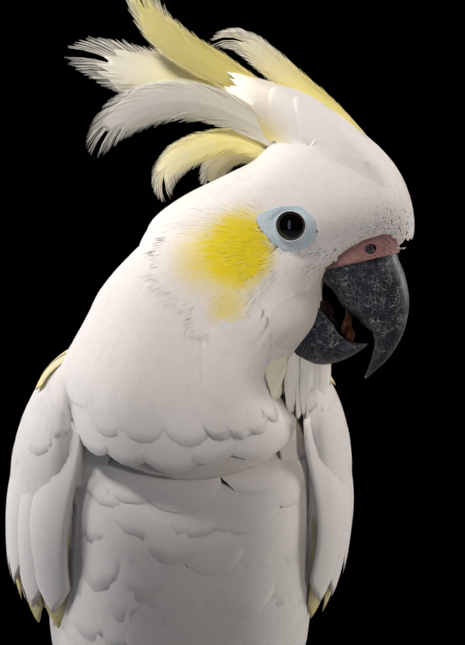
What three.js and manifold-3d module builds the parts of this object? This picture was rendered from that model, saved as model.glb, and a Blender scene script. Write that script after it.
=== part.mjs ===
// A white sulphur-crested cockatoo, life size, standing upright on both feet with the tips of the tail on the floor,
// the head turned to its left and the crest half raised. Millimetres, +Z up; the bird faces -Y, and +X is its left.
import * as THREE from "three";
import { mergeVertices } from "three/addons/utils/BufferGeometryUtils.js";
import Module from "manifold-3d";

const wasm = await Module();
wasm.setup();
const { degToRad, lerp, clamp } = THREE.MathUtils;

// ---- driving dimensions -------------------------------------------------------------------------
const clearance = 0.3; // left between neighbouring solids
const eyeHeight = 281; // floor to the eyes
const headSide = 34.8; // the head's middle stands this far to the bird's left
const headBack = -28; // and this far along Y
const headTurn = 76; // degrees that the head is turned to the left
const eyeRadius = 7;
const eyeOut = 15.6; // head's middle plane to the centre of an eye
const lidRadius = 7.6; // bare ring round the eye
const footSide = 22; // middle plane to the middle of a foot
const footBack = 27; // middle of a foot along Y
const toeRadius = 3.9;
const fanSteps = { primaries: 4, secondaries: 4, tail: 6 }; // feather edges that show in each fan
const tailLength = 168;

// ---- shape helpers ------------------------------------------------------------------------------
// The smooth curve through rows [t, a, b, ...]: a cubic Hermite whose slopes are central differences.
function sample(rows, t) {
  const last = rows.length - 1;
  const x = clamp(t, rows[0][0], rows[last][0]);
  let i = 0;
  while (i < last - 1 && x > rows[i + 1][0]) i++;
  const step = rows[i + 1][0] - rows[i][0];
  const s = (x - rows[i][0]) / step;
  const slope = (row, column) => {
    const before = rows[Math.max(row - 1, 0)];
    const after = rows[Math.min(row + 1, last)];
    return (after[column] - before[column]) / (after[0] - before[0]);
  };
  return rows[i].slice(1).map((value, n) => {
    const column = n + 1;
    const a = (1 + 2 * s) * (1 - s) ** 2 * value;
    const b = s * (1 - s) ** 2 * step * slope(i, column);
    const c = s * s * (3 - 2 * s) * rows[i + 1][column];
    const d = s * s * (s - 1) * step * slope(i + 1, column);
    return a + b + c + d;
  });
}

// Numbers the rows of a table 0, 1, 2, ... in a first column.
const numbered = (table) => table.map((row, i) => [i, ...row]);

// A sine or cosine bent towards a square (above 2) or a diamond (below 2) by the superellipse power.
const bent = (value, power) => Math.sign(value) * Math.abs(value) ** (2 / power);

// A closed skin over rings of points: pointAt(v, turn) for v from 0 to 1 along it and turn from 0 to 1 round it.
function tubeGeometry(rings, sides, pointAt) {
  const points = [];
  const faces = [];
  const middle = (ring) => {
    const sum = new THREE.Vector3();
    for (let j = 0; j < sides; j++) sum.add(points[ring * sides + j]);
    return sum.divideScalar(sides);
  };
  for (let i = 0; i <= rings; i++) for (let j = 0; j < sides; j++) points.push(pointAt(i / rings, j / sides));
  for (let i = 0; i < rings; i++) {
    for (let j = 0; j < sides; j++) {
      const k = (j + 1) % sides;
      const [a, b, c, d] = [i * sides + j, i * sides + k, (i + 1) * sides + j, (i + 1) * sides + k];
      faces.push(a, b, c, b, d, c);
    }
  }
  const first = points.push(middle(0)) - 1;
  const last = points.push(middle(rings)) - 1;
  for (let j = 0; j < sides; j++) {
    const k = (j + 1) % sides;
    faces.push(first, k, j, last, rings * sides + j, rings * sides + k);
  }
  let volume = 0;
  for (let i = 0; i < faces.length; i += 3) {
    const [a, b, c] = faces.slice(i, i + 3).map((n) => points[n]);
    volume += a.dot(new THREE.Vector3().crossVectors(b, c));
  }
  if (volume < 0) faces.reverse();
  const geometry = new THREE.BufferGeometry().setFromPoints(points);
  geometry.setIndex(faces);
  return geometry;
}

function solid(geometry, matrix) {
  const plain = new THREE.BufferGeometry();
  plain.setAttribute("position", geometry.getAttribute("position").clone());
  if (geometry.index) plain.setIndex(geometry.index.clone());
  if (matrix) plain.applyMatrix4(matrix);
  const merged = mergeVertices(plain, 1e-4);
  return new wasm.Manifold(
    new wasm.Mesh({
      numProp: 3,
      vertProperties: merged.attributes.position.array,
      triVerts: new Uint32Array(merged.index.array),
    }),
  );
}

function geometryOf(manifold) {
  const mesh = manifold.getMesh();
  const geometry = new THREE.BufferGeometry();
  geometry.setAttribute("position", new THREE.BufferAttribute(new Float32Array(mesh.vertProperties), 3));
  geometry.setIndex(new THREE.BufferAttribute(new Uint32Array(mesh.triVerts), 1));
  return geometry;
}

// The biggest body of a cut solid: what a cut leaves as loose slivers is dropped.
const largest = (manifold, tolerance = 0.08) =>
  manifold.simplify(tolerance).decompose().reduce((a, b) => (b.volume() > a.volume() ? b : a));
const joined = (solids) => solids.reduce((a, b) => a.add(b));

function box(low, high) {
  const size = high.map((value, i) => value - low[i]);
  const at = low.map((value, i) => value + size[i] / 2);
  return solid(new THREE.BoxGeometry(...size).translate(...at));
}

// A vane: a thin lens along path(s), across(s) wide, that narrows to its root and its rounded tip.
function vaneGeometry({ path, across, up, width, thickness, ...shape }) {
  const { rings = 6, sides = 6, root = 0.45, cup = 0.12, full = 0.55 } = shape;
  return tubeGeometry(rings, sides, (v, turn) => {
    const s = lerp(0.002, 0.998, v);
    const breadth = width * lerp(root, 1, Math.sin(Math.min(s / full, 1) * Math.PI / 2)) * Math.sqrt(1 - s ** 7);
    const angle = turn * 2 * Math.PI;
    const x = Math.cos(angle) * breadth / 2;
    const lift = (Math.sin(angle) * thickness) / 2 - cup * width * (2 * x / width) ** 2;
    return path(s).addScaledVector(across(s), x).addScaledVector(up(s), lift);
  });
}

// Overlapped feathers as one thin solid: at(s, u, depth) with s from root to tip and u from -1 to 1 across. The upper
// face steps down at each feather's edge, and the tips are scalloped.
function fanGeometry({ at, steps, rings = 4, thickness = 1.4, step = 0.6, scallop = 0.025 }) {
  const sides = 4 * steps;
  return tubeGeometry(rings, sides, (v, turn) => {
    const place = Math.round(turn * sides);
    const over = place < 2 * steps;
    const column = over ? place : sides - 1 - place;
    const low = column % 2;
    const u = (2 * column) / (2 * steps - 1) - 1;
    return at(v * (1 - scallop * low), u, over ? step * (1 - low) : -thickness);
  });
}

// ---- the head, in its own frame: +X to the bill, +Y the bird's left, origin between the eyes -------
// [height, middle, front, back, half width, power of the front half]
const headRows = numbered([
  [33, 8, 15, 2, 2, 2],
  [30.5, 8, 21, -3, 7, 2],
  [26, 6, 26.5, -9, 12, 2],
  [21, 2, 31, -15, 15.5, 2],
  [16, -3, 34.2, -25, 18.5, 2.1],
  [10, -8, 36.6, -37, 20.8, 2.1],
  [3.6, -10, 38, -46, 22.2, 1.7],
  [-2.5, -12, 38, -50, 23, 1.3],
  [-6.5, -13, 35.8, -52, 23.5, 1.15],
  [-8.7, -13, 29, -52, 23.7, 1.2],
  [-13, -14, 14, -52, 24, 1.7],
  [-19, -16, 8.5, -51, 24.4, 2],
  [-26, -17, 5.4, -50, 24.8, 2.1],
  [-34, -18, 3.6, -47, 25, 2.2],
  [-42, -20, 0, -43, 24, 2.2],
  [-50, -22, -6, -39, 20, 2],
  [-56, -24, -13, -34, 12, 2],
  [-59, -24, -20, -28, 4, 2],
]);

const headPoint = (grow) => (v, turn) => {
  const [height, middle, front, back, half, power] = sample(headRows, v * (headRows.length - 1));
  const [c, s] = [Math.cos(turn * 2 * Math.PI), Math.sin(turn * 2 * Math.PI)];
  const ahead = c > 0;
  const reach = (ahead ? front - middle : middle - back) + grow;
  const bend = ahead ? power : 2.1;
  const end = v < 0.5 ? 1 : -1; // the grown skin is a little longer at both ends too
  const longer = grow * end * Math.abs(2 * v - 1);
  return new THREE.Vector3(middle + reach * bent(c, bend), (half + grow) * bent(s, bend), height + longer);
};
const headGeometry = (grow = 0) => tubeGeometry(20, 16, headPoint(grow));

const headPlace = new THREE.Matrix4()
  .makeRotationZ(degToRad(headTurn - 90))
  .setPosition(headSide, headBack, eyeHeight);

// Bill sections in the middle plane: [ridge x, ridge z, edge x, edge z, half width], from inside the head to the tip.
const upperBillRows = numbered([
  [32.6, -1, 6, -9, 9.4],
  [32.6, -8.8, 8.2, -17.6, 10],
  [35.2, -16, 11.4, -21, 9.4],
  [36.5, -23.6, 15, -26.4, 8.4],
  [35.6, -31.4, 20.6, -30.6, 6.6],
  [33, -38, 25, -36, 4.8],
  [29.2, -43.4, 24.9, -40.6, 3.1],
  [24.8, -47.4, 23.4, -45.8, 1.4],
  [22.6, -49.4, 22.1, -49, 0.4],
]);
const lowerBillRows = numbered([
  [-8, -24, -15, -37, 10],
  [3, -27, -3, -42.4, 10.4],
  [9.6, -31.2, 3.4, -44.4, 9.8],
  [12.6, -35.4, 9.6, -44.9, 8.6],
  [15.4, -36.9, 15.6, -43.2, 6.9],
  [19.4, -37.6, 20.2, -40.6, 5],
  [22.8, -37.9, 23, -38.5, 3],
]);

// A bill section runs from the ridge, at turn 0, to the edge, at turn 0.5, and is widest near its edge.
function billGeometry(rows, shape) {
  const { from = 0, to = rows.length - 1, rings = 9, ridge = 0, edge = 0, breadth = 1, grow = 0 } = shape;
  return tubeGeometry(rings, 12, (v, turn) => {
    const [ridgeX, ridgeZ, edgeX, edgeZ, half] = sample(rows, lerp(from, to, v));
    const [c, s] = [Math.cos(turn * 2 * Math.PI), Math.sin(turn * 2 * Math.PI)];
    const down = new THREE.Vector3(edgeX - ridgeX, 0, edgeZ - ridgeZ);
    const length = down.length();
    const share = lerp(ridge, 1 + edge, (1 - c) / 2) - c * grow / length;
    const side = (half * breadth + grow) * bent(s, 2.3) * (0.86 + 0.14 * share);
    return new THREE.Vector3(ridgeX, side, ridgeZ).addScaledVector(down, share);
  });
}

const headLoft = solid(headGeometry());
const headGrown = solid(headGeometry(clearance));
const upperWhole = solid(billGeometry(upperBillRows, {}));
const palate = solid(
  billGeometry(upperBillRows, { from: 1.4, to: 5, ridge: 0.45, edge: 0.4, breadth: 0.7, rings: 8 }),
);
const lowerWhole = solid(billGeometry(lowerBillRows, {}));
const scoop = solid(
  billGeometry(lowerBillRows, { from: 0.6, to: 5.4, ridge: -0.5, edge: -0.5, breadth: 0.74, rings: 8 }),
);
// The cere is the stretch of the bill above this slanting plane, swollen a little.
const cereEdge = { x: 13, z: -13, rise: 0.235, deep: 40 };
function abovePlane(shift) {
  const slab = new THREE.BoxGeometry(90, 60, cereEdge.deep).translate(0, 0, cereEdge.deep / 2 + shift);
  const slant = new THREE.Matrix4().makeRotationY(-Math.atan(cereEdge.rise));
  slab.applyMatrix4(slant.setPosition(cereEdge.x, 0, cereEdge.z));
  return solid(slab);
}
const nostril = { x: 22.8, z: -7, radius: 1.5, floor: 7 };
function nostrilPin(side) {
  const pin = new THREE.CylinderGeometry(nostril.radius, nostril.radius, 12, 6);
  return solid(pin.translate(nostril.x, side * (nostril.floor + 6), nostril.z));
}
const cereWhole = solid(billGeometry(upperBillRows, { to: 2.4, grow: 0.8, rings: 5 })).intersect(abovePlane(0));
const cere = largest(cereWhole.subtract(headGrown).subtract(nostrilPin(1)).subtract(nostrilPin(-1)));
const upperBill = largest(upperWhole.subtract(abovePlane(-clearance)).subtract(palate).subtract(headGrown));
const lowerBill = largest(lowerWhole.subtract(scoop).subtract(headGrown));

// The tongue: a blunt rod that lies in the scoop of the lower bill.
const tongueRows = numbered([
  [-2, -30.6, 1.5],
  [0, -30.6, 3.2],
  [8, -30.4, 3.4],
  [13, -30.2, 3.2],
  [15.4, -30.4, 1.8],
]);
const tongueGeometry = tubeGeometry(5, 8, (v, turn) => {
  const [x, z, radius] = sample(tongueRows, v * (tongueRows.length - 1));
  return new THREE.Vector3(x, Math.cos(turn * 2 * Math.PI) * radius * 1.1, z + Math.sin(turn * 2 * Math.PI) * radius);
});
const tongue = largest(solid(tongueGeometry).subtract(headGrown).subtract(lowerWhole.subtract(scoop)));

// An eyelid is a drop-shaped bare ring, its point towards the nape, laid over the head round the eye.
function dropGeometry(side, grow) {
  const radius = lidRadius + grow;
  const shape = new THREE.Shape();
  const corner = [-12.4 - grow, 3.2];
  shape.moveTo(...corner);
  shape.quadraticCurveTo(-8, 3.6, 0.6 - radius * Math.cos(1.0), radius * Math.sin(1.0));
  shape.absarc(0.6, 0, radius, Math.PI - 1.0, -Math.PI + 0.85, true);
  shape.quadraticCurveTo(-8, -1.6, ...corner);
  const geometry = new THREE.ExtrudeGeometry(shape, { depth: 14, bevelEnabled: false, curveSegments: 5 });
  geometry.rotateX(Math.PI / 2); // now +Z of the shape is up and it is extruded towards -Y
  return geometry.translate(0, side > 0 ? 27 : -13, 0);
}
const eyeSphere = (side, grow = 0) =>
  solid(new THREE.SphereGeometry(eyeRadius + grow, 12, 6).translate(0, side * eyeOut, 0));
const lids = { left: 1, right: -1 };
function lidSolid(side) {
  const ring = solid(headGeometry(0.5)).intersect(solid(dropGeometry(side, 0)));
  return largest(ring.subtract(eyeSphere(side, clearance)).subtract(box([-30, -15, -30], [30, 15, 30])));
}
const lidPocket = (side) => solid(dropGeometry(side, clearance)).subtract(box([-30, -14.7, -30], [30, 14.7, 30]));

const sockets = joined([eyeSphere(1, clearance), eyeSphere(-1, clearance), lidPocket(1), lidPocket(-1)]);
const billSeat = joined([
  solid(billGeometry(upperBillRows, { grow: 0.8 + clearance, to: 3 })),
  solid(billGeometry(lowerBillRows, { grow: clearance })),
]);
const headBare = largest(headLoft.subtract(sockets));

// Long pointed feathers that hang from the throat on the bird's left.
function throatSolid(grow = 0) {
  return joined([0, 1, 2].map((n) => {
    const root = new THREE.Vector3(33 + 3.6 * n, -22 + 7 * n, 256);
    const fall = new THREE.Vector3(-1 + 0.5 * n, -1, [-34, -42, -39][n] - grow);
    const path = (s) => root.clone().addScaledVector(fall, s).addScaledVector(new THREE.Vector3(5, 0, 0), s * (1 - s));
    const across = () => new THREE.Vector3(0.9, 0.42, 0);
    const up = () => new THREE.Vector3(0.42, -0.9, 0);
    const shape = { width: 13 + 2 * grow, thickness: 2.4 + 2 * grow, rings: 5, root: 0.7, full: 0.3, cup: 0.08 };
    return solid(vaneGeometry({ path, across, up, ...shape }));
  }));
}

// ---- crest: each plume is a vane whose heading, in the head's middle plane, changes along it ------
// headings are degrees above the bill's direction at equal steps from root to tip; lean swings it sideways.
const plumes = {
  crest_1: { root: [24, 1.5, 24], length: 66, headings: [132, 137, 143, 141, 146, 206], width: 9.5, lean: 3, twist: 22 },
  crest_2: { root: [5, -1.5, 26], length: 86, headings: [134, 140, 148, 149, 122, 98], width: 12.5, lean: 0, twist: -24 },
  crest_3: { root: [2, 4, 25], length: 88, headings: [138, 147, 152, 178, 160, 178], width: 18, lean: 5, twist: 20 },
  crest_4: { root: [0, -4, 24], length: 76, headings: [142, 150, 163, 186, 214, 252], width: 14.5, lean: -5, twist: -20 },
  crest_5: { root: [-6, -1, 22], length: 50, headings: [150, 160, 190, 203, 240, 300], width: 11, lean: -4, twist: 16 },
  crest_6: { root: [-8, 4.5, 21], length: 30, headings: [160, 166, 180, 215, 240, 258], width: 9, lean: 6, twist: -16 },
  crest_7: { root: [21, -3, 24], length: 42, headings: [134, 139, 144, 148, 150, 151], width: 18, lean: -3, twist: -14, finish: "plumage" },
  crest_8: { root: [15, 3, 24], length: 54, headings: [140, 146, 152, 158, 162, 166], width: 22, lean: 5, twist: 16, finish: "plumage" },
};

function plumeGeometry({ root, length, headings, width, lean, twist }, grow = 0) {
  const rows = headings.map((degrees, i) => [i / (headings.length - 1), degrees]);
  const steps = 40;
  const line = [new THREE.Vector3(...root)];
  const directions = [];
  for (let i = 0; i <= steps; i++) {
    const heading = degToRad(sample(rows, i / steps)[0]);
    const sideways = degToRad(lean);
    directions.push(new THREE.Vector3(
      Math.cos(heading) * Math.cos(sideways), Math.sin(sideways), Math.sin(heading) * Math.cos(sideways)));
    line.push(line[i].clone().addScaledVector(directions[i], length / steps));
  }
  const at = (s) => line[Math.round(s * steps)].clone();
  const direction = (s) => directions[Math.round(s * steps)];
  const across = (s) => new THREE.Vector3(0, 1, 0)
    .applyAxisAngle(direction(s), degToRad(90 + twist * (1 - 0.5 * s)));
  const up = (s) => new THREE.Vector3().crossVectors(direction(s), across(s));
  const size = { width: width + 2 * grow, thickness: 1.6 + 2 * grow };
  return vaneGeometry({ path: at, across, up, ...size, rings: 7, cup: 0.1, root: 0.4, full: 0.8 });
}

// ---- neck and trunk: sections round a spine, [x, y, z, tilt, front, back, half width] --------------
// tilt turns a section's front downwards, in degrees, from level.
const neckRows = numbered([
  [6.7, -26, 282, 0, 3, 3, 3],
  [6.3, -26, 278, 0, 15, 15, 18],
  [5.8, -26, 270, 0, 21, 22, 27],
  [3.8, -26, 260.5, 0, 25, 26, 33],
  [1.3, -26, 252, 2, 28, 28, 34.8],
  [-2.2, -25.5, 243.5, 8, 31.5, 27.5, 35.8],
  [-4.2, -25, 236, 18, 35, 25.5, 37.6],
  [-2.2, -23.5, 230, 31, 38.5, 23.5, 40.2],
  [0, -20.5, 226, 43, 41, 21.5, 41.6],
  [0, -18, 224, 45, 39, 19.5, 39.6],
  [0, -17, 223.5, 45, 33, 16, 33.6],
]);
const trunkRows = numbered([
  [0, -4, 243, 34, 4, 5, 9],
  [0, -7, 239, 36, 12, 11, 21],
  [0, -13, 229, 39, 24, 21, 33],
  [0, -17, 217, 41, 34, 29, 39.5],
  [0, -11, 205, 41, 39.5, 32, 41.6],
  [0, 4, 188.5, 41, 43.5, 32, 43.2],
  [0, 26.5, 163, 42, 47, 31, 45],
  [0, 46.5, 140.5, 43, 47, 28.5, 45],
  [0, 63, 122, 44, 40.5, 24.5, 40.5],
  [0, 77, 107, 46, 28, 18, 31],
  [0, 91, 93, 48, 16, 12, 18.5],
  [0, 105, 79, 48, 8.5, 8, 12],
  [0, 113, 71, 48, 3.5, 3.5, 5.5],
]);

const sectionPoint = (rows, grow) => (v, turn) => {
  const [x, y, z, tilt, front, back, half] = sample(rows, v * (rows.length - 1));
  const [c, s] = [Math.cos(turn * 2 * Math.PI), Math.sin(turn * 2 * Math.PI)];
  const reach = ((c > 0 ? front : back) + grow) * bent(c, 2.1);
  const down = degToRad(tilt);
  const along = grow * (2 * v - 1); // the grown skin is longer too
  return new THREE.Vector3(
    x + (half + grow) * bent(s, 2.1),
    y - Math.cos(down) * reach + Math.sin(down) * along,
    z - Math.sin(down) * reach - Math.cos(down) * along,
  );
};
const neckSolid = (grow = 0) => solid(tubeGeometry(13, 16, sectionPoint(neckRows, grow)));
const trunkSolid = (grow = 0) => solid(tubeGeometry(13, 16, sectionPoint(trunkRows, grow)));
const headInPlace = solid(headGeometry(1.5 * clearance), headPlace);
const billInPlace = joined([
  solid(billGeometry(lowerBillRows, { grow: 2 * clearance, rings: 8 }), headPlace),
  solid(billGeometry(upperBillRows, { grow: 2 * clearance }), headPlace),
]);
const neck = largest(neckSolid().subtract(headInPlace).subtract(billInPlace), 0.06);
const throat = largest(throatSolid().subtract(joined([neckSolid(1.6 * clearance), headInPlace, billInPlace])));
const upperParts = joined([neckSolid(2 * clearance), headInPlace, billInPlace, throatSolid(1.5 * clearance)]);
const trunk = largest(trunkSolid().subtract(upperParts), 0.2);
const head = largest(headBare.subtract(billSeat), 0.2);

// ---- wings: laid on a form that wraps the trunk and runs out over the tail -------------------------
// [y, z, tilt, half width, front, back]
const wingRows = numbered([
  [-33, 238, 32, 36, 28, 22],
  [-24, 226, 38, 47, 36, 31],
  [-6, 206, 42, 54.5, 41, 38],
  [16, 184, 43, 56, 42, 40],
  [40, 161, 43, 55, 40, 39],
  [64, 137, 44, 47.5, 33, 35],
  [88, 109, 46, 37.5, 24, 27],
  [110, 82, 47, 28, 16, 19],
  [131, 57, 46, 20, 10, 13],
  [150, 37, 44, 13, 6, 8],
]);
// A point of the form: t counts wingRows, angle is 0 at the breast, 90 at the side and 180 on the back.
function wingForm(t, angle, depth, side) {
  const [y, z, tilt, half, front, back] = sample(wingRows, t);
  const { turn, out } = held[side > 0 ? "left" : "right"];
  const turned = degToRad(angle + turn * clamp((120 - angle) / 60, 0, 1));
  const [c, s] = [Math.cos(turned), Math.sin(turned)];
  const reach = c > 0 ? (front + depth) * c : (back + depth) * c;
  const down = degToRad(tilt);
  const breadth = half + depth + out * clamp(6 - t, 0, 1);
  return new THREE.Vector3(side * breadth * s, y - Math.cos(down) * reach, z - Math.sin(down) * reach);
}

// The arm with its coverts: [t, ventral edge, dorsal edge, thickness].
const armRows = [
  [0, 100, 112, 3],
  [0.4, 80, 138, 8],
  [1, 60, 156, 11],
  [2, 50, 166, 12.5],
  [3, 46, 166, 11.5],
  [3.5, 46, 162, 10],
  [3.9, 51, 146, 8],
  [4.3, 66, 104, 3],
];
// The left wing is held a few degrees further back round the flank, and the right one a little way out.
const held = { left: { turn: 4, out: 0.6 }, right: { turn: -2, out: 3 } };
function armSolid(side, grow = 0) {
  return solid(tubeGeometry(9, 12, (v, turn) => {
    const t = lerp(0, 4.3, v);
    const [low, high, thick] = sample(armRows, t);
    const c = Math.cos(turn * 2 * Math.PI);
    const s = Math.sin(turn * 2 * Math.PI);
    const across = (1 - c) / 2;
    const swell = thick * (1 - 0.62 * across); // thick at the leading edge, thin over the back
    const grownAngle = -c * grow * 1.4;
    return wingForm(t, lerp(low, high, across) + grownAngle, -swell / 2 + s * (swell / 2 + grow), side);
  }));
}

// Secondaries lie over the rump under the coverts; primaries lie under them, down to the wing's tip.
// Each fan gives [t, angle] of its roots and tips at u = -1, nearest the back, and at u = 1.
const fans = {
  secondaries: { root: [[2.4, 163], [2.9, 104]], tip: [[6.0, 172], [6.7, 130]], bulge: 0.1, depth: [-6, -1.6] },
  primaries: { root: [[3.1, 128], [3.3, 88]], tip: [[7.4, 162], [8.4, 108]], bulge: 0.8, depth: [-9.5, -4.6] },
};
function fanSolid(name, side, grow = 0) {
  const { root, tip, bulge, depth } = fans[name];
  const at = (s, u, lift) => {
    const across = (u * (1 + grow / 20) + 1) / 2;
    const from = root[0].map((value, i) => lerp(value, root[1][i], across));
    const to = tip[0].map((value, i) => lerp(value, tip[1][i], across));
    to[0] += bulge * Math.sin(across * Math.PI);
    const grown = s + (grow / 60) * (2 * s - 1);
    const below = lift < 0 ? -grow : grow;
    const under = lerp(depth[0], depth[1], s) + lift + below;
    return wingForm(lerp(from[0], to[0], grown), lerp(from[1], to[1], s), under, side);
  };
  return solid(fanGeometry({ at, steps: fanSteps[name] }));
}
function wingSolids(side) {
  const body = joined([trunkSolid(1.5 * clearance), upperParts]);
  const arm = armSolid(side);
  const overPrimaries = joined([body, armSolid(side, 1.5 * clearance), fanSolid("secondaries", side, 1.5 * clearance)]);
  return {
    arm: largest(arm.subtract(body), 0.1),
    secondaries: largest(fanSolid("secondaries", side).subtract(body).subtract(armSolid(side, 1.5 * clearance))),
    primaries: largest(fanSolid("primaries", side).subtract(overPrimaries)),
  };
}

// ---- tail: a closed fan of vanes whose tips lie on the floor ---------------------------------------
const tailRoot = { y: 66, z: 118, half: 11 };
const tailTip = { z: 0.9, half: 27 };
const tailRun = 0.985 * Math.sqrt(tailLength ** 2 - tailRoot.z ** 2);
const belowFloor = box([-300, -300, -60], [300, 300, 0]);
const tailAt = (s, u, lift) => {
  const half = lerp(tailRoot.half, tailTip.half, s ** 0.8);
  const roof = lerp(4.5, 0.9, s) * (1 - u * u); // the middle feathers lie on top
  const fall = (tailRoot.z - tailTip.z) * (1 - s) ** 1.28;
  return new THREE.Vector3(half * u, tailRoot.y + tailRun * s * (1 - 0.035 * u * u), tailTip.z + fall + roof + lift);
};
const tailWhole = solid(fanGeometry({ at: tailAt, steps: fanSteps.tail, rings: 5, scallop: 0.03 }));
const tail = largest(tailWhole.subtract(trunkSolid(clearance))).subtract(belowFloor);

// ---- legs: feathered thighs, bare scaly feet with two toes forward and two back, and claws ---------
// [x from the middle, y, z, half width, half depth]
const thighRows = numbered([
  [22, 38, 130, 11, 16],
  [22, 35, 117, 19, 26],
  [22, 31, 95, 20.5, 27],
  [22, 30, 74, 17.5, 22],
  [22, 32, 54, 12.6, 15],
  [22, 34.5, 38, 8.8, 9.8],
  [22, 35.5, 32, 6.4, 7],
]);
const thighSolid = (side) => largest(
  solid(tubeGeometry(7, 10, (v, turn) => {
    const [x, y, z, half, deep] = sample(thighRows, v * (thighRows.length - 1));
    const angle = turn * 2 * Math.PI;
    return new THREE.Vector3(side * (x + Math.cos(angle) * half), y + Math.sin(angle) * deep, z);
  })).subtract(trunkSolid(clearance)).subtract(shankSolid(clearance).translate(side * footSide, footBack, 0)),
);

// Toes in the foot's own frame, origin on the floor under its middle: heading is degrees outwards from straight ahead.
const toes = {
  front_outer: { heading: 12, length: 40, claw: 14 },
  front_inner: { heading: -20, length: 29, claw: 12 },
  back_outer: { heading: 148, length: 36, claw: 13 },
  back_inner: { heading: 200, length: 21, claw: 11 },
};
const toeDirection = (heading, side) =>
  new THREE.Vector3(side * Math.sin(degToRad(heading)), -Math.cos(degToRad(heading)), 0);

// A toe tapers to its rounded end and keeps a flat pad on the floor.
function toeSolid({ heading, length }, side) {
  const direction = toeDirection(heading, side);
  const across = new THREE.Vector3(-direction.y, direction.x, 0);
  return solid(tubeGeometry(4, 6, (v, turn) => {
    const radius = toeRadius * (1 - 0.2 * v) * Math.sqrt(1 - (v * 0.97) ** 8);
    const angle = turn * 2 * Math.PI;
    return direction.clone().multiplyScalar(length * v)
      .addScaledVector(across, Math.cos(angle) * radius)
      .setZ(radius * 0.84 + Math.sin(angle) * radius);
  }));
}

// A claw is a tapering arc that leaves the toe's end, rises a little and comes down to the floor.
function clawGeometry({ heading, length, claw }, side, grow = 0) {
  const direction = toeDirection(heading, side);
  const across = new THREE.Vector3(-direction.y, direction.x, 0);
  const bend = degToRad(78);
  const radius = claw / bend;
  const start = degToRad(22);
  const top = 4.1;
  return tubeGeometry(4, 5, (v, turn) => {
    const sweep = v * bend - start;
    const out = length - 3.2 + radius * (Math.sin(sweep) + Math.sin(start));
    const height = top + radius * (Math.cos(sweep) - Math.cos(start));
    const thick = lerp(2.1, 0.35, v ** 1.3) + grow;
    const angle = turn * 2 * Math.PI;
    return direction.clone().multiplyScalar(out + Math.sin(sweep) * thick * Math.sin(angle))
      .addScaledVector(across, Math.cos(angle) * thick * 0.8)
      .setZ(Math.max(height + Math.cos(sweep) * thick * Math.sin(angle), 0.05 - grow));
  });
}

// [y, z, radius] of the shank from the heel, inside the thigh's feathers, down to the toes.
const shankRows = numbered([
  [9, 40, 4.4],
  [9, 31, 5.4],
  [6, 21, 4.8],
  [2.6, 11, 5],
  [0.4, 5, 5.4],
  [0, 3, 4],
]);
const shankSolid = (grow = 0) => solid(tubeGeometry(5, 6, (v, turn) => {
  const [y, z, radius] = sample(shankRows, v * (shankRows.length - 1));
  const angle = turn * 2 * Math.PI;
  const wide = radius + grow;
  return new THREE.Vector3(Math.cos(angle) * wide, y + Math.sin(angle) * wide * 1.08, z + grow * (1 - 2 * v));
}));
function footSolid(side) {
  const shank = shankSolid();
  const whole = joined([shank, ...Object.values(toes).map((toe) => toeSolid(toe, side))]);
  const claws = joined(Object.values(toes).map((toe) => solid(clawGeometry(toe, side, 1.3 * clearance))));
  return largest(whole.subtract(claws), 0.14).subtract(belowFloor);
}

// ---- the bird ---------------------------------------------------------------------------------------
const finishes = {
  plumage: { color: 0xf1ece6, roughness: 0.75, metalness: 0 },
  crest: { color: 0xefe29a, roughness: 0.7, metalness: 0 },
  bill: { color: 0x37383c, roughness: 0.45, metalness: 0 },
  cere: { color: 0xb98a86, roughness: 0.6, metalness: 0 },
  bareSkin: { color: 0xbfd3df, roughness: 0.55, metalness: 0 },
  eye: { color: 0x120b08, roughness: 0.08, metalness: 0 },
  tongue: { color: 0x4a3a36, roughness: 0.5, metalness: 0 },
  foot: { color: 0x55555a, roughness: 0.7, metalness: 0 },
  claw: { color: 0x242426, roughness: 0.4, metalness: 0 },
};
const materials = Object.fromEntries(
  Object.entries(finishes).map(([name, finish]) => [name, new THREE.MeshStandardMaterial({ name, ...finish })]),
);
function addMesh(group, name, shape, finish) {
  const geometry = shape.isBufferGeometry ? shape : geometryOf(shape);
  const mesh = new THREE.Mesh(geometry, materials[finish]);
  mesh.name = name;
  group.add(mesh);
  return mesh;
}

const bird = new THREE.Group();
const stance = new THREE.Group();
bird.add(stance);
const headGroup = new THREE.Group();
headGroup.applyMatrix4(headPlace);
stance.add(headGroup);
addMesh(headGroup, "head", head, "plumage");
addMesh(headGroup, "cere", cere, "cere");
addMesh(headGroup, "bill_upper", upperBill, "bill");
addMesh(headGroup, "bill_lower", lowerBill, "bill");
addMesh(headGroup, "tongue", tongue, "tongue");
for (const [name, side] of Object.entries(lids)) {
  addMesh(headGroup, `eye_${name}`, eyeSphere(side), "eye");
  addMesh(headGroup, `eyelid_${name}`, lidSolid(side), "bareSkin");
}
let taken = headGrown;
for (const [name, plume] of Object.entries(plumes)) {
  const whole = solid(plumeGeometry(plume));
  addMesh(headGroup, name, largest(whole.subtract(taken)), plume.finish ?? "crest");
  taken = taken.add(solid(plumeGeometry(plume, 1.5 * clearance))); // so that the next one clears it
}
addMesh(stance, "neck", neck, "plumage");
addMesh(stance, "throat", throat, "plumage");
addMesh(stance, "trunk", trunk, "plumage");
addMesh(stance, "tail", tail, "plumage");
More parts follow.
